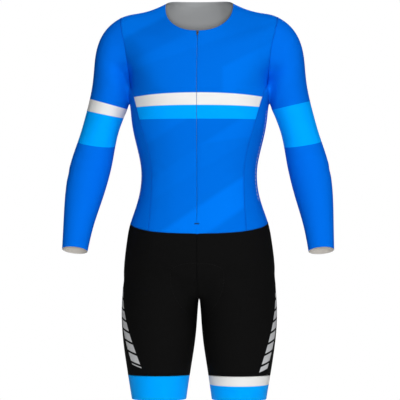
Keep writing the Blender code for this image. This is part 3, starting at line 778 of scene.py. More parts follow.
for name, piece in panel_pieces.items():
    if name.startswith("front"):
        places = places_of(piece)
        across = np.abs(places[:, 0])
        near_slot = np.clip(1 - (across - SLOT_HALF_WIDTH) / LIP_REACH, 0, 1)
        drawn = near_slot ** 2
        drawn *= np.clip((LIP_OPENS[1] - places[:, 2]) / (LIP_OPENS[1] - LIP_OPENS[0]), 0, 1)
        drawn *= SLOT_HALF_WIDTH - LIP_FROM_CENTRE
        closing = np.clip((SLOT_ENDS[1] - places[:, 2]) / (SLOT_ENDS[1] - SLOT_ENDS[0]), 0, 1)
        drawn += closing * np.clip(across - drawn - CLOSED, 0, None) * near_slot
        places[:, 0] -= np.sign(places[:, 0]) * drawn
        set_places(piece, places)
    activate(piece)
    bpy.ops.object.mode_set(mode="EDIT")
    bpy.ops.mesh.select_mode(type="FACE")
    bpy.ops.mesh.select_all(action="SELECT")
    bpy.ops.mesh.inset(thickness=BORDER, depth=0, use_boundary=True, use_even_offset=False)
    bpy.ops.object.mode_set(mode="OBJECT")
    places = places_of(piece)
    in_seam = np.empty(len(places), np.float32)
    piece.data.attributes["in_seam"].data.foreach_get("value", in_seam)
    outward = np.empty(len(places) * 3, np.float32)
    piece.data.attributes["out"].data.foreach_get("vector", outward)
    border = border_points(piece)
    sunk = border[in_seam[border] > 0.5]
    places[sunk] -= SEAM_SINK * outward.reshape(-1, 3)[sunk]
    set_places(piece, places)
    print(f"{name}: {len(piece.data.polygons)} faces, {len(border)} points on its border,",
          len(sunk), "of them in a seam")

# %% [markdown]
# The knit itself is a double bar warp knit, printed on one face. Its small V-shaped loops run up
# the grain of each panel, so they are drawn from the flat pattern's own coordinates, as bump. Real
# loops are 0.4 mm wide, far too fine for a picture of a whole suit, so they are drawn at 1.2 mm.
# The colour is a print, and a dye hardly changes how the yarn reflects: a weak, wide highlight,
# tinted with the yarn.

# %% Knit, as a material with any print
LOOP_WIDTH = 1.2 * MM
LOOP_HEIGHT = 1.4 * MM
LOOP_DEPTH = 0.06 * MM
YARN_NOISE = 0.9
LEG_SHARE, WALE_SHARE, YARN_SHARE = 0.35, 0.5, 0.6


def principled(tree, sockets, bump):
    shader = add_node(tree, "BsdfPrincipled", {**sockets, "Normal": bump})
    add_node(tree, "OutputMaterial", {"Surface": shader.outputs[0]})
    return shader


def math_node(tree, operation, *values):
    return add_node(tree, "Math", dict(enumerate(values)), operation=operation).outputs[0]


def new_material(name):
    material = bpy.data.materials.new(name)
    material.use_nodes = True
    material.node_tree.nodes.clear()
    return material, material.node_tree


def millimetres(tree):
    place = add_node(tree, "TexCoord").outputs["Object"]
    return add_node(tree, "VectorMath", {0: place, "Scale": 1 / MM}, operation="SCALE").outputs[0]


def wave(tree, place, pitch):
    return math_node(tree, "SINE", math_node(tree, "MULTIPLY", place, 2 * math.pi / pitch))


def from_middle(tree, place, pitch):
    """How far a place lies from the middle of its own repeat, as a share of the pitch."""
    in_pitch = math_node(tree, "FRACT", math_node(tree, "DIVIDE", place, pitch))
    return math_node(tree, "ABSOLUTE", math_node(tree, "SUBTRACT", in_pitch, 0.5))


def noise(tree, scale, detail=2.0):
    sockets = {"Vector": millimetres(tree), "Scale": scale, "Detail": detail}
    return add_node(tree, "TexNoise", sockets).outputs[0]


def bumps(tree, height, depth):
    sockets = {"Height": height, "Distance": depth, "Strength": 1.0}
    return add_node(tree, "Bump", sockets).outputs[0]


def loops_bump(tree):
    """V-shaped loops in columns up the grain, with a little unevenness of the yarn."""
    flat_place = add_node(tree, "UVMap", uv_map="grain").outputs[0]
    across, up, _ = add_node(tree, "SeparateXYZ", {0: flat_place}).outputs
    off_wale = from_middle(tree, across, LOOP_WIDTH)
    row = math_node(tree, "ADD", math_node(tree, "DIVIDE", up, LOOP_HEIGHT), off_wale)
    leg = math_node(tree, "MULTIPLY", wave(tree, row, 1), LEG_SHARE)
    wale = math_node(tree, "COSINE", math_node(tree, "MULTIPLY", off_wale, 2 * math.pi))
    wale = math_node(tree, "MULTIPLY", wale, -WALE_SHARE)
    yarn = math_node(tree, "MULTIPLY", noise(tree, YARN_NOISE), YARN_SHARE)
    height = math_node(tree, "ADD", math_node(tree, "ADD", leg, wale), yarn)
    return bumps(tree, height, LOOP_DEPTH)


def colour_of(tree, print_of):
    """print_of is a hex colour, or a function that adds the print's nodes and returns its socket."""
    return linear(print_of) if isinstance(print_of, str) else print_of(tree)


def knit(name, print_of, shine="#3F8FE0", highlight=0.05, rough=0.7):
    material, tree = new_material(name)
    principled(tree, {
        "Base Color": colour_of(tree, print_of), "Roughness": rough,
        "Specular IOR Level": highlight, "Specular Tint": linear(shine),
    }, loops_bump(tree))
    return material


print("loops of", round(LOOP_WIDTH / MM, 1), "by", round(LOOP_HEIGHT / MM, 1), "mm")

# %% [markdown]
# The print is made of areas with nearly straight edges. An edge is a line through two points of
# the front view, and the signed distance to it is positive on its upper side. The smaller of two
# such distances gives a band, the greatest of several bands gives their union, and a soft or a
# crisp step turns the distance into a mask.

# %% Print helpers
Edge = namedtuple("Edge", "x1 z1 x2 z2")
SOFT = 9.0
CRISP = 0.6


def above(tree, place, edge, side=1):
    """Signed distance in mm from an edge, positive above it, or below it with side=-1."""
    length = math.hypot(edge.x2 - edge.x1, edge.z2 - edge.z1)
    across = (-(edge.z2 - edge.z1) / length * side, 0, (edge.x2 - edge.x1) / length * side)
    if edge.x2 < edge.x1:
        across = tuple(-part for part in across)
    offset = across[0] * edge.x1 + across[2] * edge.z1
    along = add_node(tree, "VectorMath", {0: place, 1: across}, operation="DOT_PRODUCT")
    return math_node(tree, "SUBTRACT", along.outputs["Value"], offset)


def smallest(tree, distances):
    result = distances[0]
    for distance in distances[1:]:
        result = math_node(tree, "MINIMUM", result, distance)
    return result


def greatest(tree, distances):
    result = distances[0]
    for distance in distances[1:]:
        result = math_node(tree, "MAXIMUM", result, distance)
    return result


def mask(tree, distance, softness):
    step = {0: distance, 1: -softness, 2: softness}
    return add_node(tree, "MapRange", step, interpolation_type="SMOOTHSTEP").outputs[0]


def laid_over(tree, share, under, over):
    """The colour over where share is 1, and the colour under where it is 0."""
    mixed = add_node(tree, "Mix", {0: share}, data_type="RGBA")
    for socket, colour in ((6, under), (7, over)):
        if isinstance(colour, bpy.types.NodeSocket):
            tree.links.new(colour, mixed.inputs[socket])
        else:
            mixed.inputs[socket].default_value = linear(colour)
    return mixed.outputs[2]


# %% [markdown]
# The front carries broad diagonal bands in two blues, close in tone, with soft edges. Over them
# lie a white and a light blue hoop across the chest, which sag a little towards the sides. The
# back has the same kind of bands in a layout of its own, because the picture doesn't show it.

# %% Prints of the front and the back
BLUE_DARK = "#0066D4"
BLUE_LIGHT = "#0079F2"
SKY = "#00A0FF"
WHITE_PRINT = "#E3E3E2"

ABOVE_HOOPS = Edge(-400, -255, 400, -254.9)
BELOW_HOOPS = Edge(-400, -250, 400, -250.1)
WAIST_BAND_TOP = Edge(-118, -434, 107, -286)
Band = namedtuple("Band", "strength sides")
FRONT_BANDS = (
    Band(0.50, (("above", Edge(-183, -86, -93, -36)), )),
    Band(0.22, (("below", Edge(-143, -136, 7, -61)), ("above", Edge(-93, -141, 95, -74)))),
    Band(0.10, (("below", Edge(-143, -136, 7, -61)), )),
    Band(0.22, (("below", Edge(7, -81, 157, -24)), ("above", Edge(7, -111, 182, -49)))),
    Band(0.36, (("below", Edge(62, -161, 177, -99)), ("right", 62), ("above", ABOVE_HOOPS))),
    Band(0.32, (("above", Edge(-125, -351, -23, -289)), ("left", -2), ("below", BELOW_HOOPS))),
    Band(0.20, (("below", WAIST_BAND_TOP), ("above", Edge(-105, -486, 7, -416)), ("left", 7))),
    Band(0.20, (("below", WAIST_BAND_TOP), ("above", Edge(7, -416, 125, -346)), ("right", 7))),
    Band(0.38, (("below", WAIST_BAND_TOP), ("above", Edge(20, -351, 132, -334)))),
    Band(0.62, (
        ("below", Edge(7, -499, 115, -426)), ("above", Edge(45, -556, 125, -499)), ("left", 119),
    )),
    Band(0.15, (("below", Edge(-43, -531, 2, -504)), ("left", 0))),
)
SHOULDER_BLADE_FOOT = Edge(-160, -372, 170, -236)
BACK_BANDS = (
    Band(0.50, (("above", Edge(60, -70, 180, -15)), )),
    Band(0.30, (("below", Edge(-180, -130, 180, 5)), ("above", Edge(-180, -188, 180, -62)))),
    Band(0.45, (
        ("below", Edge(-160, -300, 170, -165)), ("above", SHOULDER_BLADE_FOOT), ("right", -60),
    )),
    Band(0.25, (("below", SHOULDER_BLADE_FOOT), ("above", Edge(-130, -452, 140, -346)))),
    Band(0.55, (("below", Edge(-60, -505, 130, -420)), ("above", Edge(0, -560, 130, -492)))),
)
SIDE_BLUE = "#0067D4"
HOOP_WHITE_TOP, HOOP_WHITE_DROP = -223.9, 3.1e-4
HOOP_WHITE_FOOT, HOOP_FOOT_DROP = -254.2, 1.2e-4
HOOP_SKY_FOOT = -287.9
PRINT_ENDS = Edge(148.2, -230.0, 138.7, -280.0)
PRINT_SIDES_FROM = -180.0


def tonal_bands(tree, place, bands):
    across = add_node(tree, "SeparateXYZ", {0: place}).outputs[0]
    found = []
    for band in bands:
        distances = []
        for side, edge in band.sides:
            if side in ("above", "below"):
                distances.append(above(tree, place, edge, 1 if side == "above" else -1))
            elif side == "right":
                distances.append(math_node(tree, "SUBTRACT", across, edge))
            else:
                distances.append(math_node(tree, "SUBTRACT", edge, across))
        share = mask(tree, smallest(tree, distances), SOFT)
        found.append(math_node(tree, "MULTIPLY", share, band.strength))
    return laid_over(tree, greatest(tree, found), BLUE_DARK, BLUE_LIGHT)


def hoop_edge(tree, place, height, drop):
    """Signed distance above a hoop's edge, which drops with the square of the distance from the zip."""
    parts = add_node(tree, "SeparateXYZ", {0: place}).outputs
    sag = math_node(tree, "MULTIPLY", math_node(tree, "MULTIPLY", parts[0], parts[0]), drop)
    return math_node(tree, "SUBTRACT", math_node(tree, "ADD", parts[2], sag), height)


def front_print(tree):
    """The bands, the two hoops over them, and plain blue beyond the slanted ends of the print."""
    place = millimetres(tree)
    colour = tonal_bands(tree, place, FRONT_BANDS)
    top = mask(tree, hoop_edge(tree, place, HOOP_WHITE_TOP, HOOP_WHITE_DROP), CRISP)
    middle = mask(tree, hoop_edge(tree, place, HOOP_WHITE_FOOT, HOOP_FOOT_DROP), CRISP)
    foot = mask(tree, hoop_edge(tree, place, HOOP_SKY_FOOT, 0), CRISP)
    sky = math_node(tree, "SUBTRACT", foot, middle)
    white = math_node(tree, "SUBTRACT", middle, top)
    colour = laid_over(tree, white, laid_over(tree, sky, colour, SKY), WHITE_PRINT)
    either_side = add_node(tree, "VectorMath", {0: place}, operation="ABSOLUTE").outputs[0]
    ends = mask(tree, above(tree, either_side, PRINT_ENDS, -1), CRISP)
    below_chest = mask(tree, hoop_edge(tree, place, PRINT_SIDES_FROM, 0), SOFT)
    ends = math_node(tree, "MULTIPLY", ends, math_node(tree, "SUBTRACT", 1.0, below_chest))
    return laid_over(tree, ends, colour, SIDE_BLUE)


def back_print(tree):
    return tonal_bands(tree, millimetres(tree), BACK_BANDS)


front_knit = knit("warp knit, printed front", front_print)
back_knit = knit("warp knit, printed back", back_print)
print("prints of", len(FRONT_BANDS), "and", len(BACK_BANDS), "bands")

# %% [markdown]
# The sleeves are a deeper plain blue, with hoops round the upper arm at the height of the chest
# hoops. A hoop is cut by a plane that tips a little forward, so each of its edges is one linear
# sum of the three coordinates. Each side carries a fine row of pale dashes, and each outer thigh a
# broken stripe of slanted grey blocks.

# %% Prints of the sleeves, the sides and the legs
SLEEVE_BLUE = "#0168DD"
Tilted = namedtuple("Tilted", "height slope_x tip_y")
LEFT_HOOP = (Tilted(-303.0, 0.228, 0.05), Tilted(-388.0, 0.155, 0.12))
RIGHT_WHITE_TOP = Tilted(-309.4, -0.2786, 0.02)
RIGHT_WHITE_FOOT = Tilted(-321.6, -0.21, 0.04)
RIGHT_SKY_FOOT = Tilted(-383.0, -0.14, 0.153)


def over_plane(tree, place, plane):
    """Signed height over a tilted plane: z less its own height there."""
    upwards = (-plane.slope_x, -plane.tip_y, 1)
    level = add_node(tree, "VectorMath", {0: place, 1: upwards}, operation="DOT_PRODUCT")
    return math_node(tree, "SUBTRACT", level.outputs["Value"], plane.height)


def sleeve_left_print(tree):
    place = millimetres(tree)
    top, foot = (mask(tree, over_plane(tree, place, plane), CRISP) for plane in LEFT_HOOP)
    return laid_over(tree, math_node(tree, "SUBTRACT", foot, top), SLEEVE_BLUE, SKY)


def sleeve_right_print(tree):
    place = millimetres(tree)
    planes = (RIGHT_WHITE_TOP, RIGHT_WHITE_FOOT, RIGHT_SKY_FOOT)
    top, middle, foot = (mask(tree, over_plane(tree, place, plane), CRISP) for plane in planes)
    colour = laid_over(tree, math_node(tree, "SUBTRACT", foot, middle), SLEEVE_BLUE, SKY)
    return laid_over(tree, math_node(tree, "SUBTRACT", middle, top), colour, WHITE_PRINT)


Dashes = namedtuple("Dashes", "y top foot pitch half_length half_width")
DASHES = Dashes(-28, -265, -488, 9.0, 2.9, 1.5)


def side_print(tree):
    """A plain panel with a fine row of pale dashes down it."""
    parts = add_node(tree, "SeparateXYZ", {0: millimetres(tree)}).outputs
    off_line = math_node(tree, "ABSOLUTE", math_node(tree, "SUBTRACT", parts[1], DASHES.y))
    off_middle = math_node(tree, "SUBTRACT", parts[2], (DASHES.top + DASHES.foot) / 2)
    off_middle = math_node(tree, "ABSOLUTE", off_middle)
    in_dash = from_middle(tree, parts[2], DASHES.pitch)
    in_dash = math_node(tree, "MULTIPLY", in_dash, DASHES.pitch)
    distances = (
        math_node(tree, "SUBTRACT", DASHES.half_width, off_line),
        math_node(tree, "SUBTRACT", (DASHES.top - DASHES.foot) / 2, off_middle),
        math_node(tree, "SUBTRACT", DASHES.half_length, in_dash),
    )
    share = mask(tree, smallest(tree, distances), CRISP)
    return laid_over(tree, share, SIDE_BLUE, WHITE_PRINT)


Winding = namedtuple("Winding", "top foot turn")
WINDINGS = {
    -1: Winding(-690, -897, math.radians(48 / 188)),
    1: Winding(-715, -907, math.radians(40 / 185)),
}
LEG_AXIS_X, LEG_RADIUS = 100, 85
BLOCK_SLANT, BLOCK_PITCH = 0.3, 27.0
BLOCK_HALF_LENGTH, BLOCK_HALF_WIDTH = 10.5, 14.0
BLACK_KNIT, PALE_GREY = "#0E0E0E", "#BCBDBF"


def leg_print(hand):
    """A broken stripe of slanted blocks that winds from the outer seam to the front of the thigh."""
    winding = WINDINGS[hand]

    def stripe(tree):
        place = add_node(tree, "SeparateXYZ", {0: millimetres(tree)}).outputs
        outwards = math_node(tree, "MULTIPLY", place[0], hand)
        outwards = math_node(tree, "SUBTRACT", outwards, LEG_AXIS_X)
        forwards = math_node(tree, "MULTIPLY", place[1], -1)
        angle = math_node(tree, "ARCTAN2", forwards, outwards)
        wanted = math_node(tree, "SUBTRACT", winding.top, place[2])
        wanted = math_node(tree, "MULTIPLY", wanted, winding.turn)
        off_centre = math_node(tree, "SUBTRACT", angle, wanted)
        off_centre = math_node(tree, "MULTIPLY", off_centre, LEG_RADIUS)
        slanted = math_node(tree, "MULTIPLY", off_centre, BLOCK_SLANT)
        slanted = math_node(tree, "ADD", place[2], slanted)
        in_block = from_middle(tree, slanted, BLOCK_PITCH)
        in_block = math_node(tree, "MULTIPLY", in_block, BLOCK_PITCH)
        half_width = math_node(tree, "ABSOLUTE", off_centre)
        distances = (
            math_node(tree, "SUBTRACT", BLOCK_HALF_WIDTH, half_width),
            math_node(tree, "SUBTRACT", BLOCK_HALF_LENGTH, in_block),
            math_node(tree, "SUBTRACT", winding.top, slanted),
            math_node(tree, "SUBTRACT", slanted, winding.foot),
        )
        share = mask(tree, smallest(tree, distances), CRISP)
        return laid_over(tree, share, BLACK_KNIT, PALE_GREY)

    return stripe


sleeve_left_knit = knit("warp knit, left sleeve", sleeve_left_print)
sleeve_right_knit = knit("warp knit, right sleeve", sleeve_right_print)
side_knit = knit("warp knit, dashed sides", side_print)
PALE_SHINE = {"shine": "#C0C0C0", "highlight": 0.05}
BLACK_SHINE = {"shine": "#9A9A9A", "highlight": 0.05, "rough": 0.8}
# The inside of the body is the same pale unprinted knit as the inside of the sleeves. Its darker grey is
# painted shade, for the inside seen in shadow through the neck opening.
body_reverse_in_painted_shade = knit("warp knit, unprinted inside of the body", "#A8AAAC", **PALE_SHINE)
pale_reverse = knit("warp knit, unprinted inside of the sleeves", "#CFCAC4", **PALE_SHINE)
edge_tape = knit("bonded edge tape", "#A9B4C4", shine="#C0C0C0", highlight=0.1)
black_knit = knit("dense black knit", BLACK_KNIT, **BLACK_SHINE)
left_leg_knit = knit("dense black knit, left leg's blocks", leg_print(1), **BLACK_SHINE)
right_leg_knit = knit("dense black knit, right leg's blocks", leg_print(-1), **BLACK_SHINE)
black_reverse = knit(
    "dense black knit, inside", "#0E0E0F", shine="#808080", highlight=0.1, rough=0.75
)
print("knits of the sleeves, the sides, the shorts and the insides ready")

# %% [markdown]
# The grip bands are wide elastic with fine ribs that run round the leg. One band is plain light
# blue, and the other has a white upper third. The ribs are about 2 mm apart, and the band's own
# height gives them.

# %% Elastic grip bands
RIB_PITCH = 2.2
RIB_DEPTH = 0.12 * MM
GRIP_WHITE_ABOVE = -945.0


def elastic(name, print_of):
    material, tree = new_material(name)
    height = add_node(tree, "SeparateXYZ", {0: millimetres(tree)}).outputs[2]
    principled(tree, {
        "Base Color": colour_of(tree, print_of), "Roughness": 0.6,
        "Specular IOR Level": 0.1, "Specular Tint": linear(SKY),
    }, bumps(tree, wave(tree, height, RIB_PITCH), RIB_DEPTH))
    return material


def half_white(tree):
    height = add_node(tree, "SeparateXYZ", {0: millimetres(tree)}).outputs[2]
    share = mask(tree, math_node(tree, "SUBTRACT", height, GRIP_WHITE_ABOVE), CRISP)
    return laid_over(tree, share, SKY, WHITE_PRINT)


grip_right_elastic = elastic("ribbed elastic, light blue", SKY)
grip_left_elastic = elastic("ribbed elastic, light blue and white", half_white)
grip_inside = elastic("elastic, silicone dotted inside", "#B9BCC0")
print("elastics ready")

# %% [markdown]
# Each panel now gets its thickness, 0.8 mm inwards from the printed face, and its materials: the
# print outside, the unprinted knit inside, which on the body is a darker grey as painted shade. A
# free edge shows the narrow bonded tape that stops the knit from curling, and an edge in a seam
# keeps the print's colour, so that no pale line shows in the groove. The panel then stands in for
# its solid, and the size it was cut to is worked out. A skinsuit is cut smaller than the rider,
# about an eighth narrower and a twenty-fifth shorter, and stretches into place.

# %% Thickness, materials and cut of each panel
CLOTH_THICKNESS = 0.8 * MM
CUT_WIDTH_SHARE = 0.88
CUT_LENGTH_SHARE = 0.96
OUTSIDE, INSIDE, RIM = 0, 1, 2
Finish = namedtuple("Finish", "outside inside edge slot")
BODY = Finish(None, body_reverse_in_painted_shade, edge_tape, "blue_knit")
SHORTS = Finish(black_knit, black_reverse, black_knit, "black_knit")
FINISHES = {
    "front_left": BODY._replace(outside=front_knit), "front_right": BODY._replace(outside=front_knit),
    "back_panel": BODY._replace(outside=back_knit),
    "side_left": BODY._replace(outside=side_knit), "side_right": BODY._replace(outside=side_knit),
    "sleeve_left": Finish(sleeve_left_knit, pale_reverse, edge_tape, "blue_knit"),
    "sleeve_right": Finish(sleeve_right_knit, pale_reverse, edge_tape, "blue_knit"),
    "shorts_front_left": SHORTS._replace(outside=left_leg_knit),
    "shorts_front_right": SHORTS._replace(outside=right_leg_knit),
    "shorts_back_left": SHORTS._replace(outside=left_leg_knit),
    "shorts_back_right": SHORTS._replace(outside=right_leg_knit),
    "grip_left": Finish(grip_left_elastic, grip_inside, grip_left_elastic, "grip_band"),
    "grip_right": Finish(grip_right_elastic, grip_inside, grip_right_elastic, "grip_band"),
}

for name, piece in panel_pieces.items():
    finish = FINISHES[name]
    for material in (finish.outside, finish.inside, finish.edge):
        piece.data.materials.append(material)
    activate(piece)
    bpy.ops.object.shade_smooth()
    wall = piece.modifiers.new("knit thickness", "SOLIDIFY")
    wall.thickness = CLOTH_THICKNESS
    wall.offset = -1
    wall.material_offset = INSIDE
    wall.material_offset_rim = RIM
    bpy.ops.object.modifier_apply(modifier=wall.name)
    in_seam = np.empty(len(piece.data.vertices), np.float32)
    piece.data.attributes["in_seam"].data.foreach_get("value", in_seam)
    for face in piece.data.polygons:
        if face.material_index == RIM and in_seam[list(face.vertices)].min() > 0.5:
            face.material_index = OUTSIDE
    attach(piece, "garment")
    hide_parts(name)
    cut = worn_cut[name]
    width, length = cut.width * CUT_WIDTH_SHARE, cut.length * CUT_LENGTH_SHARE

# %% [markdown]
# Stretch garments are sewn with flatlock seams: the two edges meet without overlapping, and a
# zigzag of threads lies flat across them. A thread is a curve with a round bevel, turned into a
# mesh. The colour of a seam's thread follows the darker of its panels, so the seams show only as
# fine lines, as they do on the real suit.

# %% Sewing threads
ZIGZAG_PITCH = 2.4 * MM
ZIGZAG_HALF_WIDTH = 2.0 * MM
THREAD_RADIUS = 0.2 * MM
THREAD_LIFT = 0.12 * MM


def resample(points, normals, step):
    """Points and normals at equal steps along a line, in whole steps."""
    run = np.concatenate(([0], np.cumsum(np.linalg.norm(np.diff(points, axis=0), axis=1))))
    stations = np.linspace(0, run[-1], max(2, int(run[-1] / step) + 1))
    return tuple(
        np.stack([np.interp(stations, run, part[:, k]) for k in range(3)], axis=1)
        for part in (points, normals)
    )


def zigzag(points, normals):
    """A line of thread that crosses a seam to and fro, just above the cloth."""
    points, normals = resample(points, normals, ZIGZAG_PITCH / 2)
    along = np.gradient(points, axis=0)
    beside = np.cross(normals, along)
    beside /= np.linalg.norm(beside, axis=1)[:, None]
    hand = np.where(np.arange(len(points)) % 2, 1, -1)[:, None]
    return points + hand * ZIGZAG_HALF_WIDTH * beside + THREAD_LIFT * normals


def threads(name, runs, radius, material):
    """All the runs of thread as one mesh of round threads."""
    path = bpy.data.curves.new(name, "CURVE")
    path.dimensions = "3D"
    path.bevel_depth = radius
    path.bevel_resolution = 0
    for run in runs:
        spline = path.splines.new("POLY")
        spline.points.add(len(run) - 1)
        spline.points.foreach_set("co", np.column_stack((run, np.ones(len(run)))).ravel())
    piece = bpy.data.objects.new(name, path)
    bpy.context.scene.collection.objects.link(piece)
    piece.data.materials.append(material)
    activate(piece)
    bpy.ops.object.convert(target="MESH")
    bpy.ops.object.shade_smooth()
    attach(piece, "garment")
    triangles = sum(len(face.vertices) - 2 for face in piece.data.polygons)
    print(f"{name}: {len(runs)} runs, {triangles} triangles")
    return piece


# Textured polyester thread is spun soft, so it has a dull shine and a fine twist.
def thread_material(name, colour):
    material, tree = new_material(name)
    twist = bumps(tree, noise(tree, 3.0), 0.05 * MM)
    principled(tree, {"Base Color": linear(colour), "Roughness": 0.55, "Specular IOR Level": 0.2}, twist)
    return material


blue_thread = thread_material("textured polyester thread, blue", "#006AE0")
black_thread = thread_material("textured polyester thread, black", "#0B0B0C")
DARK_PANELS = ("shorts", "grip")
blue_runs, black_runs = [], []
for seam in seams:
    is_dark = any(panel.startswith(DARK_PANELS) for panel in seam.panels)
    (black_runs if is_dark else blue_runs).append(zigzag(seam.points, seam.normals))
blue_sewing = threads("flatlock_sewing_blue", blue_runs, THREAD_RADIUS, blue_thread)
black_sewing = threads("flatlock_sewing_black", black_runs, THREAD_RADIUS, black_thread)

# %% [markdown]
# The pad is sewn in with a row of longer stitches that bite into the knit. Seen from outside it is
# a dotted line, black on black, in the soft groove pressed before. At the foot of the zip a bar
# tack, a dense short zigzag 12 mm wide, takes the strain off the last teeth.

# %% Pad stitches and bar tack
PAD_STITCH = 4.2 * MM
PAD_STITCH_GAP = 2.6 * MM
PAD_THREAD_RADIUS = 0.45 * MM
TACK_HALF_WIDTH = 6 * MM
TACK_TOP = -543 * MM
TACK_HEIGHT = 2.6 * MM
TACK_ROWS = 15
TACK_SHARES = (-1, -0.5, 0.5, 1)
TACK_LIFT = 0.2 * MM
STITCH_STEP = 0.7 * MM
STITCH_BELOW = PAD_GROOVE_DEPTH - 0.25 * MM

pad_runs = []
stitch, gap = round(PAD_STITCH / STITCH_STEP), round(PAD_STITCH_GAP / STITCH_STEP)
for outline in pad_outlines:
    points, normals = resample(outline[:, :3], outline[:, 3:], STITCH_STEP)
    for first in range(gap // 2, len(points) - stitch, stitch + gap):
        run = points[first:first + stitch]
        pad_runs.append(run - STITCH_BELOW * normals[first:first + stitch])
thick_thread = thread_material("thick polyester thread, black", "#030303")
pad_sewing = threads("seat_pad_sewing", pad_runs, PAD_THREAD_RADIUS, thick_thread)

fronts = surface_tree(panel_pieces["front_left"], panel_pieces["front_right"])
tack = []
for row in range(TACK_ROWS):
    height = TACK_TOP - TACK_HEIGHT * row / TACK_ROWS
    hand = 1 if row % 2 else -1
    for share in TACK_SHARES:
        point, normal = on_surface(fronts, "front", hand * share * TACK_HALF_WIDTH, height)
        tack.append(point + TACK_LIFT * normal)
navy_thread = thread_material("bar tack thread, navy", "#00295E")
bar_tack = threads("bar_tack", [np.array(tack)], THREAD_RADIUS, navy_thread)

# %% [markdown]
# The zip is a nylon coil: a stiff filament wound round a cord on each tape, and the two coils hook
# into each other. Each is a helix 1 mm wide, half a turn out of step with the other. They lie just
# under the face of the cloth, between the two drawn-in edges. Moulded nylon is smooth, but so fine
# a coil shows hardly any shine.

# %% Zip coil
COIL_TOP = -79 * MM
COIL_FOOT = -545 * MM
COIL_PITCH = 1.3 * MM
COIL_POINTS_A_TURN = 8
COIL_OFFSET = 0.3 * MM
COIL_HALF_WIDTH = 0.5 * MM
COIL_HALF_DEPTH = 0.4 * MM
COIL_DEPTH = 1.45 * MM
FILAMENT_RADIUS = 0.17 * MM
ZIP_GUIDE_X = 3.0 * MM
ZIP_GUIDES = 120


def zip_line(height):
    """The middle of the zip at that height: a point on the cloth's face and its outward direction."""
    sides = [on_surface(fronts, "front", hand * ZIP_GUIDE_X, height) for hand in (-1, 1)]
    point = (sides[0][0] + sides[1][0]) / 2
    normal = (sides[0][1] + sides[1][1]).normalized()
    return np.array(point), np.array(normal)


guides = [zip_line(height) for height in np.linspace(COIL_TOP, COIL_FOOT, ZIP_GUIDES)]
guide_points = np.array([point for point, _ in guides])
guide_normals = np.array([normal for _, normal in guides])
points, normals = resample(guide_points, guide_normals, COIL_PITCH / COIL_POINTS_A_TURN)
turn = np.arange(len(points)) * 2 * math.pi / COIL_POINTS_A_TURN
coils = []
for hand, phase in ((-1, 0), (1, math.pi)):
    across = hand * COIL_OFFSET + COIL_HALF_WIDTH * np.cos(turn + phase)
    depth = COIL_DEPTH - COIL_HALF_DEPTH * np.sin(turn + phase)
    coils.append(points + np.outer(across, (1, 0, 0)) - depth[:, None] * normals)
coil_nylon, tree = new_material("nylon zip coil, blue")
principled(tree, {
    "Base Color": linear("#0074E6"), "Roughness": 0.45, "Specular IOR Level": 0.05,
}, bumps(tree, noise(tree, 2.0), 0.03 * MM))
zip_coil = threads("zip_coil", coils, FILAMENT_RADIUS, coil_nylon)

# %% [markdown]
# Each coil is sewn to a woven polyester tape, which lies flat behind the front and is sewn to it.
# A tape is a plain grid whose points are laid behind the cloth's face, row by row down the zip,
# and then gets its thickness. Woven tape is dull, and its ribs, 0.7 mm apart, show only from close
# by.

# %% Zip tapes
TAPE_DEPTH = 2.1 * MM
TAPE_THICKNESS = 0.35 * MM
TAPE_ACROSS = (0.5 * MM, 11 * MM)
TAPE_COLUMNS, TAPE_ROWS = 5, 90
TAPE_TOP = -73 * MM
TAPE_RIB = 0.7

tape_weave, tree = new_material("woven polyester zip tape, blue")
place = add_node(tree, "SeparateXYZ", {0: millimetres(tree)})
ribs, picks = (wave(tree, place.outputs[axis], TAPE_RIB) for axis in (0, 2))
weave = math_node(tree, "MULTIPLY", ribs, picks)
principled(tree, {
    "Base Color": linear("#006BDA"), "Roughness": 0.8, "Specular IOR Level": 0.05,
}, bumps(tree, weave, 0.08 * MM))

tapes = []
for hand, name in ((1, "zip_tape_left"), (-1, "zip_tape_right")):
    bpy.ops.object.select_all(action="DESELECT")
    bpy.ops.mesh.primitive_grid_add(
        x_subdivisions=TAPE_COLUMNS, y_subdivisions=TAPE_ROWS, size=1
    )
    tape = bpy.context.object
    tape.name = name
    grid = places_of(tape)
    for index, (share_x, share_y, _) in enumerate(grid + 0.5):
        across = TAPE_ACROSS[0] + share_x * (TAPE_ACROSS[1] - TAPE_ACROSS[0])
        height = TAPE_TOP + share_y * (COIL_FOOT - TAPE_TOP)
        point, normal = on_surface(fronts, "front", hand * max(across, ZIP_GUIDE_X), height)
        grid[index] = point - TAPE_DEPTH * normal
        grid[index][0] = hand * across
    set_places(tape, grid)
    edit_all(tape, bpy.ops.mesh.normals_make_consistent, inside=False)
    if normals_of(tape)[:, 1].mean() > 0:
        edit_all(tape, bpy.ops.mesh.flip_normals)
    bpy.ops.object.shade_smooth()
    wall = tape.modifiers.new("tape thickness", "SOLIDIFY")
    wall.thickness = TAPE_THICKNESS
    wall.offset = -1
    bpy.ops.object.modifier_apply(modifier=wall.name)
    tape.data.materials.append(tape_weave)
    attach(tape, "garment")
    tapes.append(tape)
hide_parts("zip_chain")
print("tapes:", [len(tape.data.polygons) for tape in tapes], "faces")

# %% [markdown]
# The slider and its pull are cast zinc with black paint, and keep the frame's solids. Paint on so
# small a part is smooth and a little glossy, with the metal's faint waviness under it.

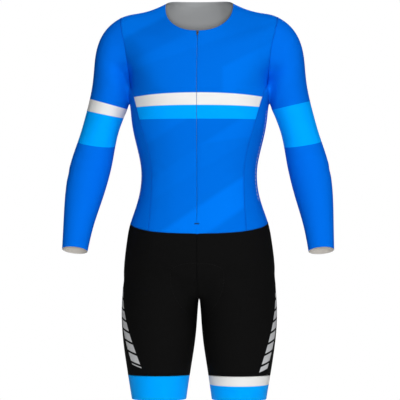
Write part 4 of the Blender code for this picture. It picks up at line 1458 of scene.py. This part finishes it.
# %% Slider and pull paint
zinc, tree = new_material("black painted zinc")
principled(tree, {
    "Base Color": linear("#101114"), "Metallic": 0.0, "Roughness": 0.32, "Specular IOR Level": 0.5,
}, bumps(tree, noise(tree, 0.9, 3.0), 0.04 * MM))
for name in ("zip_slider", "zip_pull"):
    nodes[name].data.materials.clear()
    nodes[name].data.materials.append(zinc)
print("painted:", zinc.name)

# %% [markdown]
# The seat pad is moulded foam under brushed microfibre, 7 mm thick, and only shows from below, up
# the legs. It is remade from its solid as an even mesh, drawn in a little so that it stays clear
# of the knit, and rounded. Channels are pressed into the side that the rider sits on, two along it
# and some across, so that it bends.

# %% Seat pad
PAD_VOXEL = 2.4 * MM
PAD_DRAWN_IN = 0.7 * MM
CHANNEL_DEPTH = 1.4 * MM
CHANNEL_WIDTH = 2.6 * MM
CHANNELS_AT_X = 24 * MM
CHANNELS_AT_Z = tuple(height * MM for height in (-664, -690, -716))
RIDER_SIDE = 0.2

pad = welded_copy("seat_pad", "seat_pad_foam")
pad.data.materials.clear()
pad.data.remesh_voxel_size = PAD_VOXEL
bpy.ops.object.voxel_remesh()
soften = pad.modifiers.new("rounded foam", "SMOOTH")
soften.factor, soften.iterations = 0.5, 6
bpy.ops.object.modifier_apply(modifier=soften.name)
places, normals = places_of(pad), normals_of(pad)
towards_rider = np.where(places[:, 1] < 0, normals[:, 1], -normals[:, 1]) > RIDER_SIDE
pressed = np.exp(-(((np.abs(places[:, 0]) - CHANNELS_AT_X) / CHANNEL_WIDTH) ** 2))
for height in CHANNELS_AT_Z:
    pressed = np.maximum(pressed, np.exp(-(((places[:, 2] - height) / CHANNEL_WIDTH) ** 2)))
moves = PAD_DRAWN_IN + CHANNEL_DEPTH * pressed * towards_rider
set_places(pad, places - normals * moves[:, None])
bpy.ops.object.shade_smooth()

microfibre, tree = new_material("brushed grey microfibre")
nap = noise(tree, 1.6, 4.0)
shades = laid_over(tree, nap, "#7C8087", "#8E929A")
principled(tree, {
    "Base Color": shades, "Roughness": 0.85, "Specular IOR Level": 0.1, "Sheen Weight": 0.3,
}, bumps(tree, nap, 0.15 * MM))
pad.data.materials.append(microfibre)
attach(pad, "garment")
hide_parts("seat_pad")
print("seat pad:", len(pad.data.polygons), "faces")
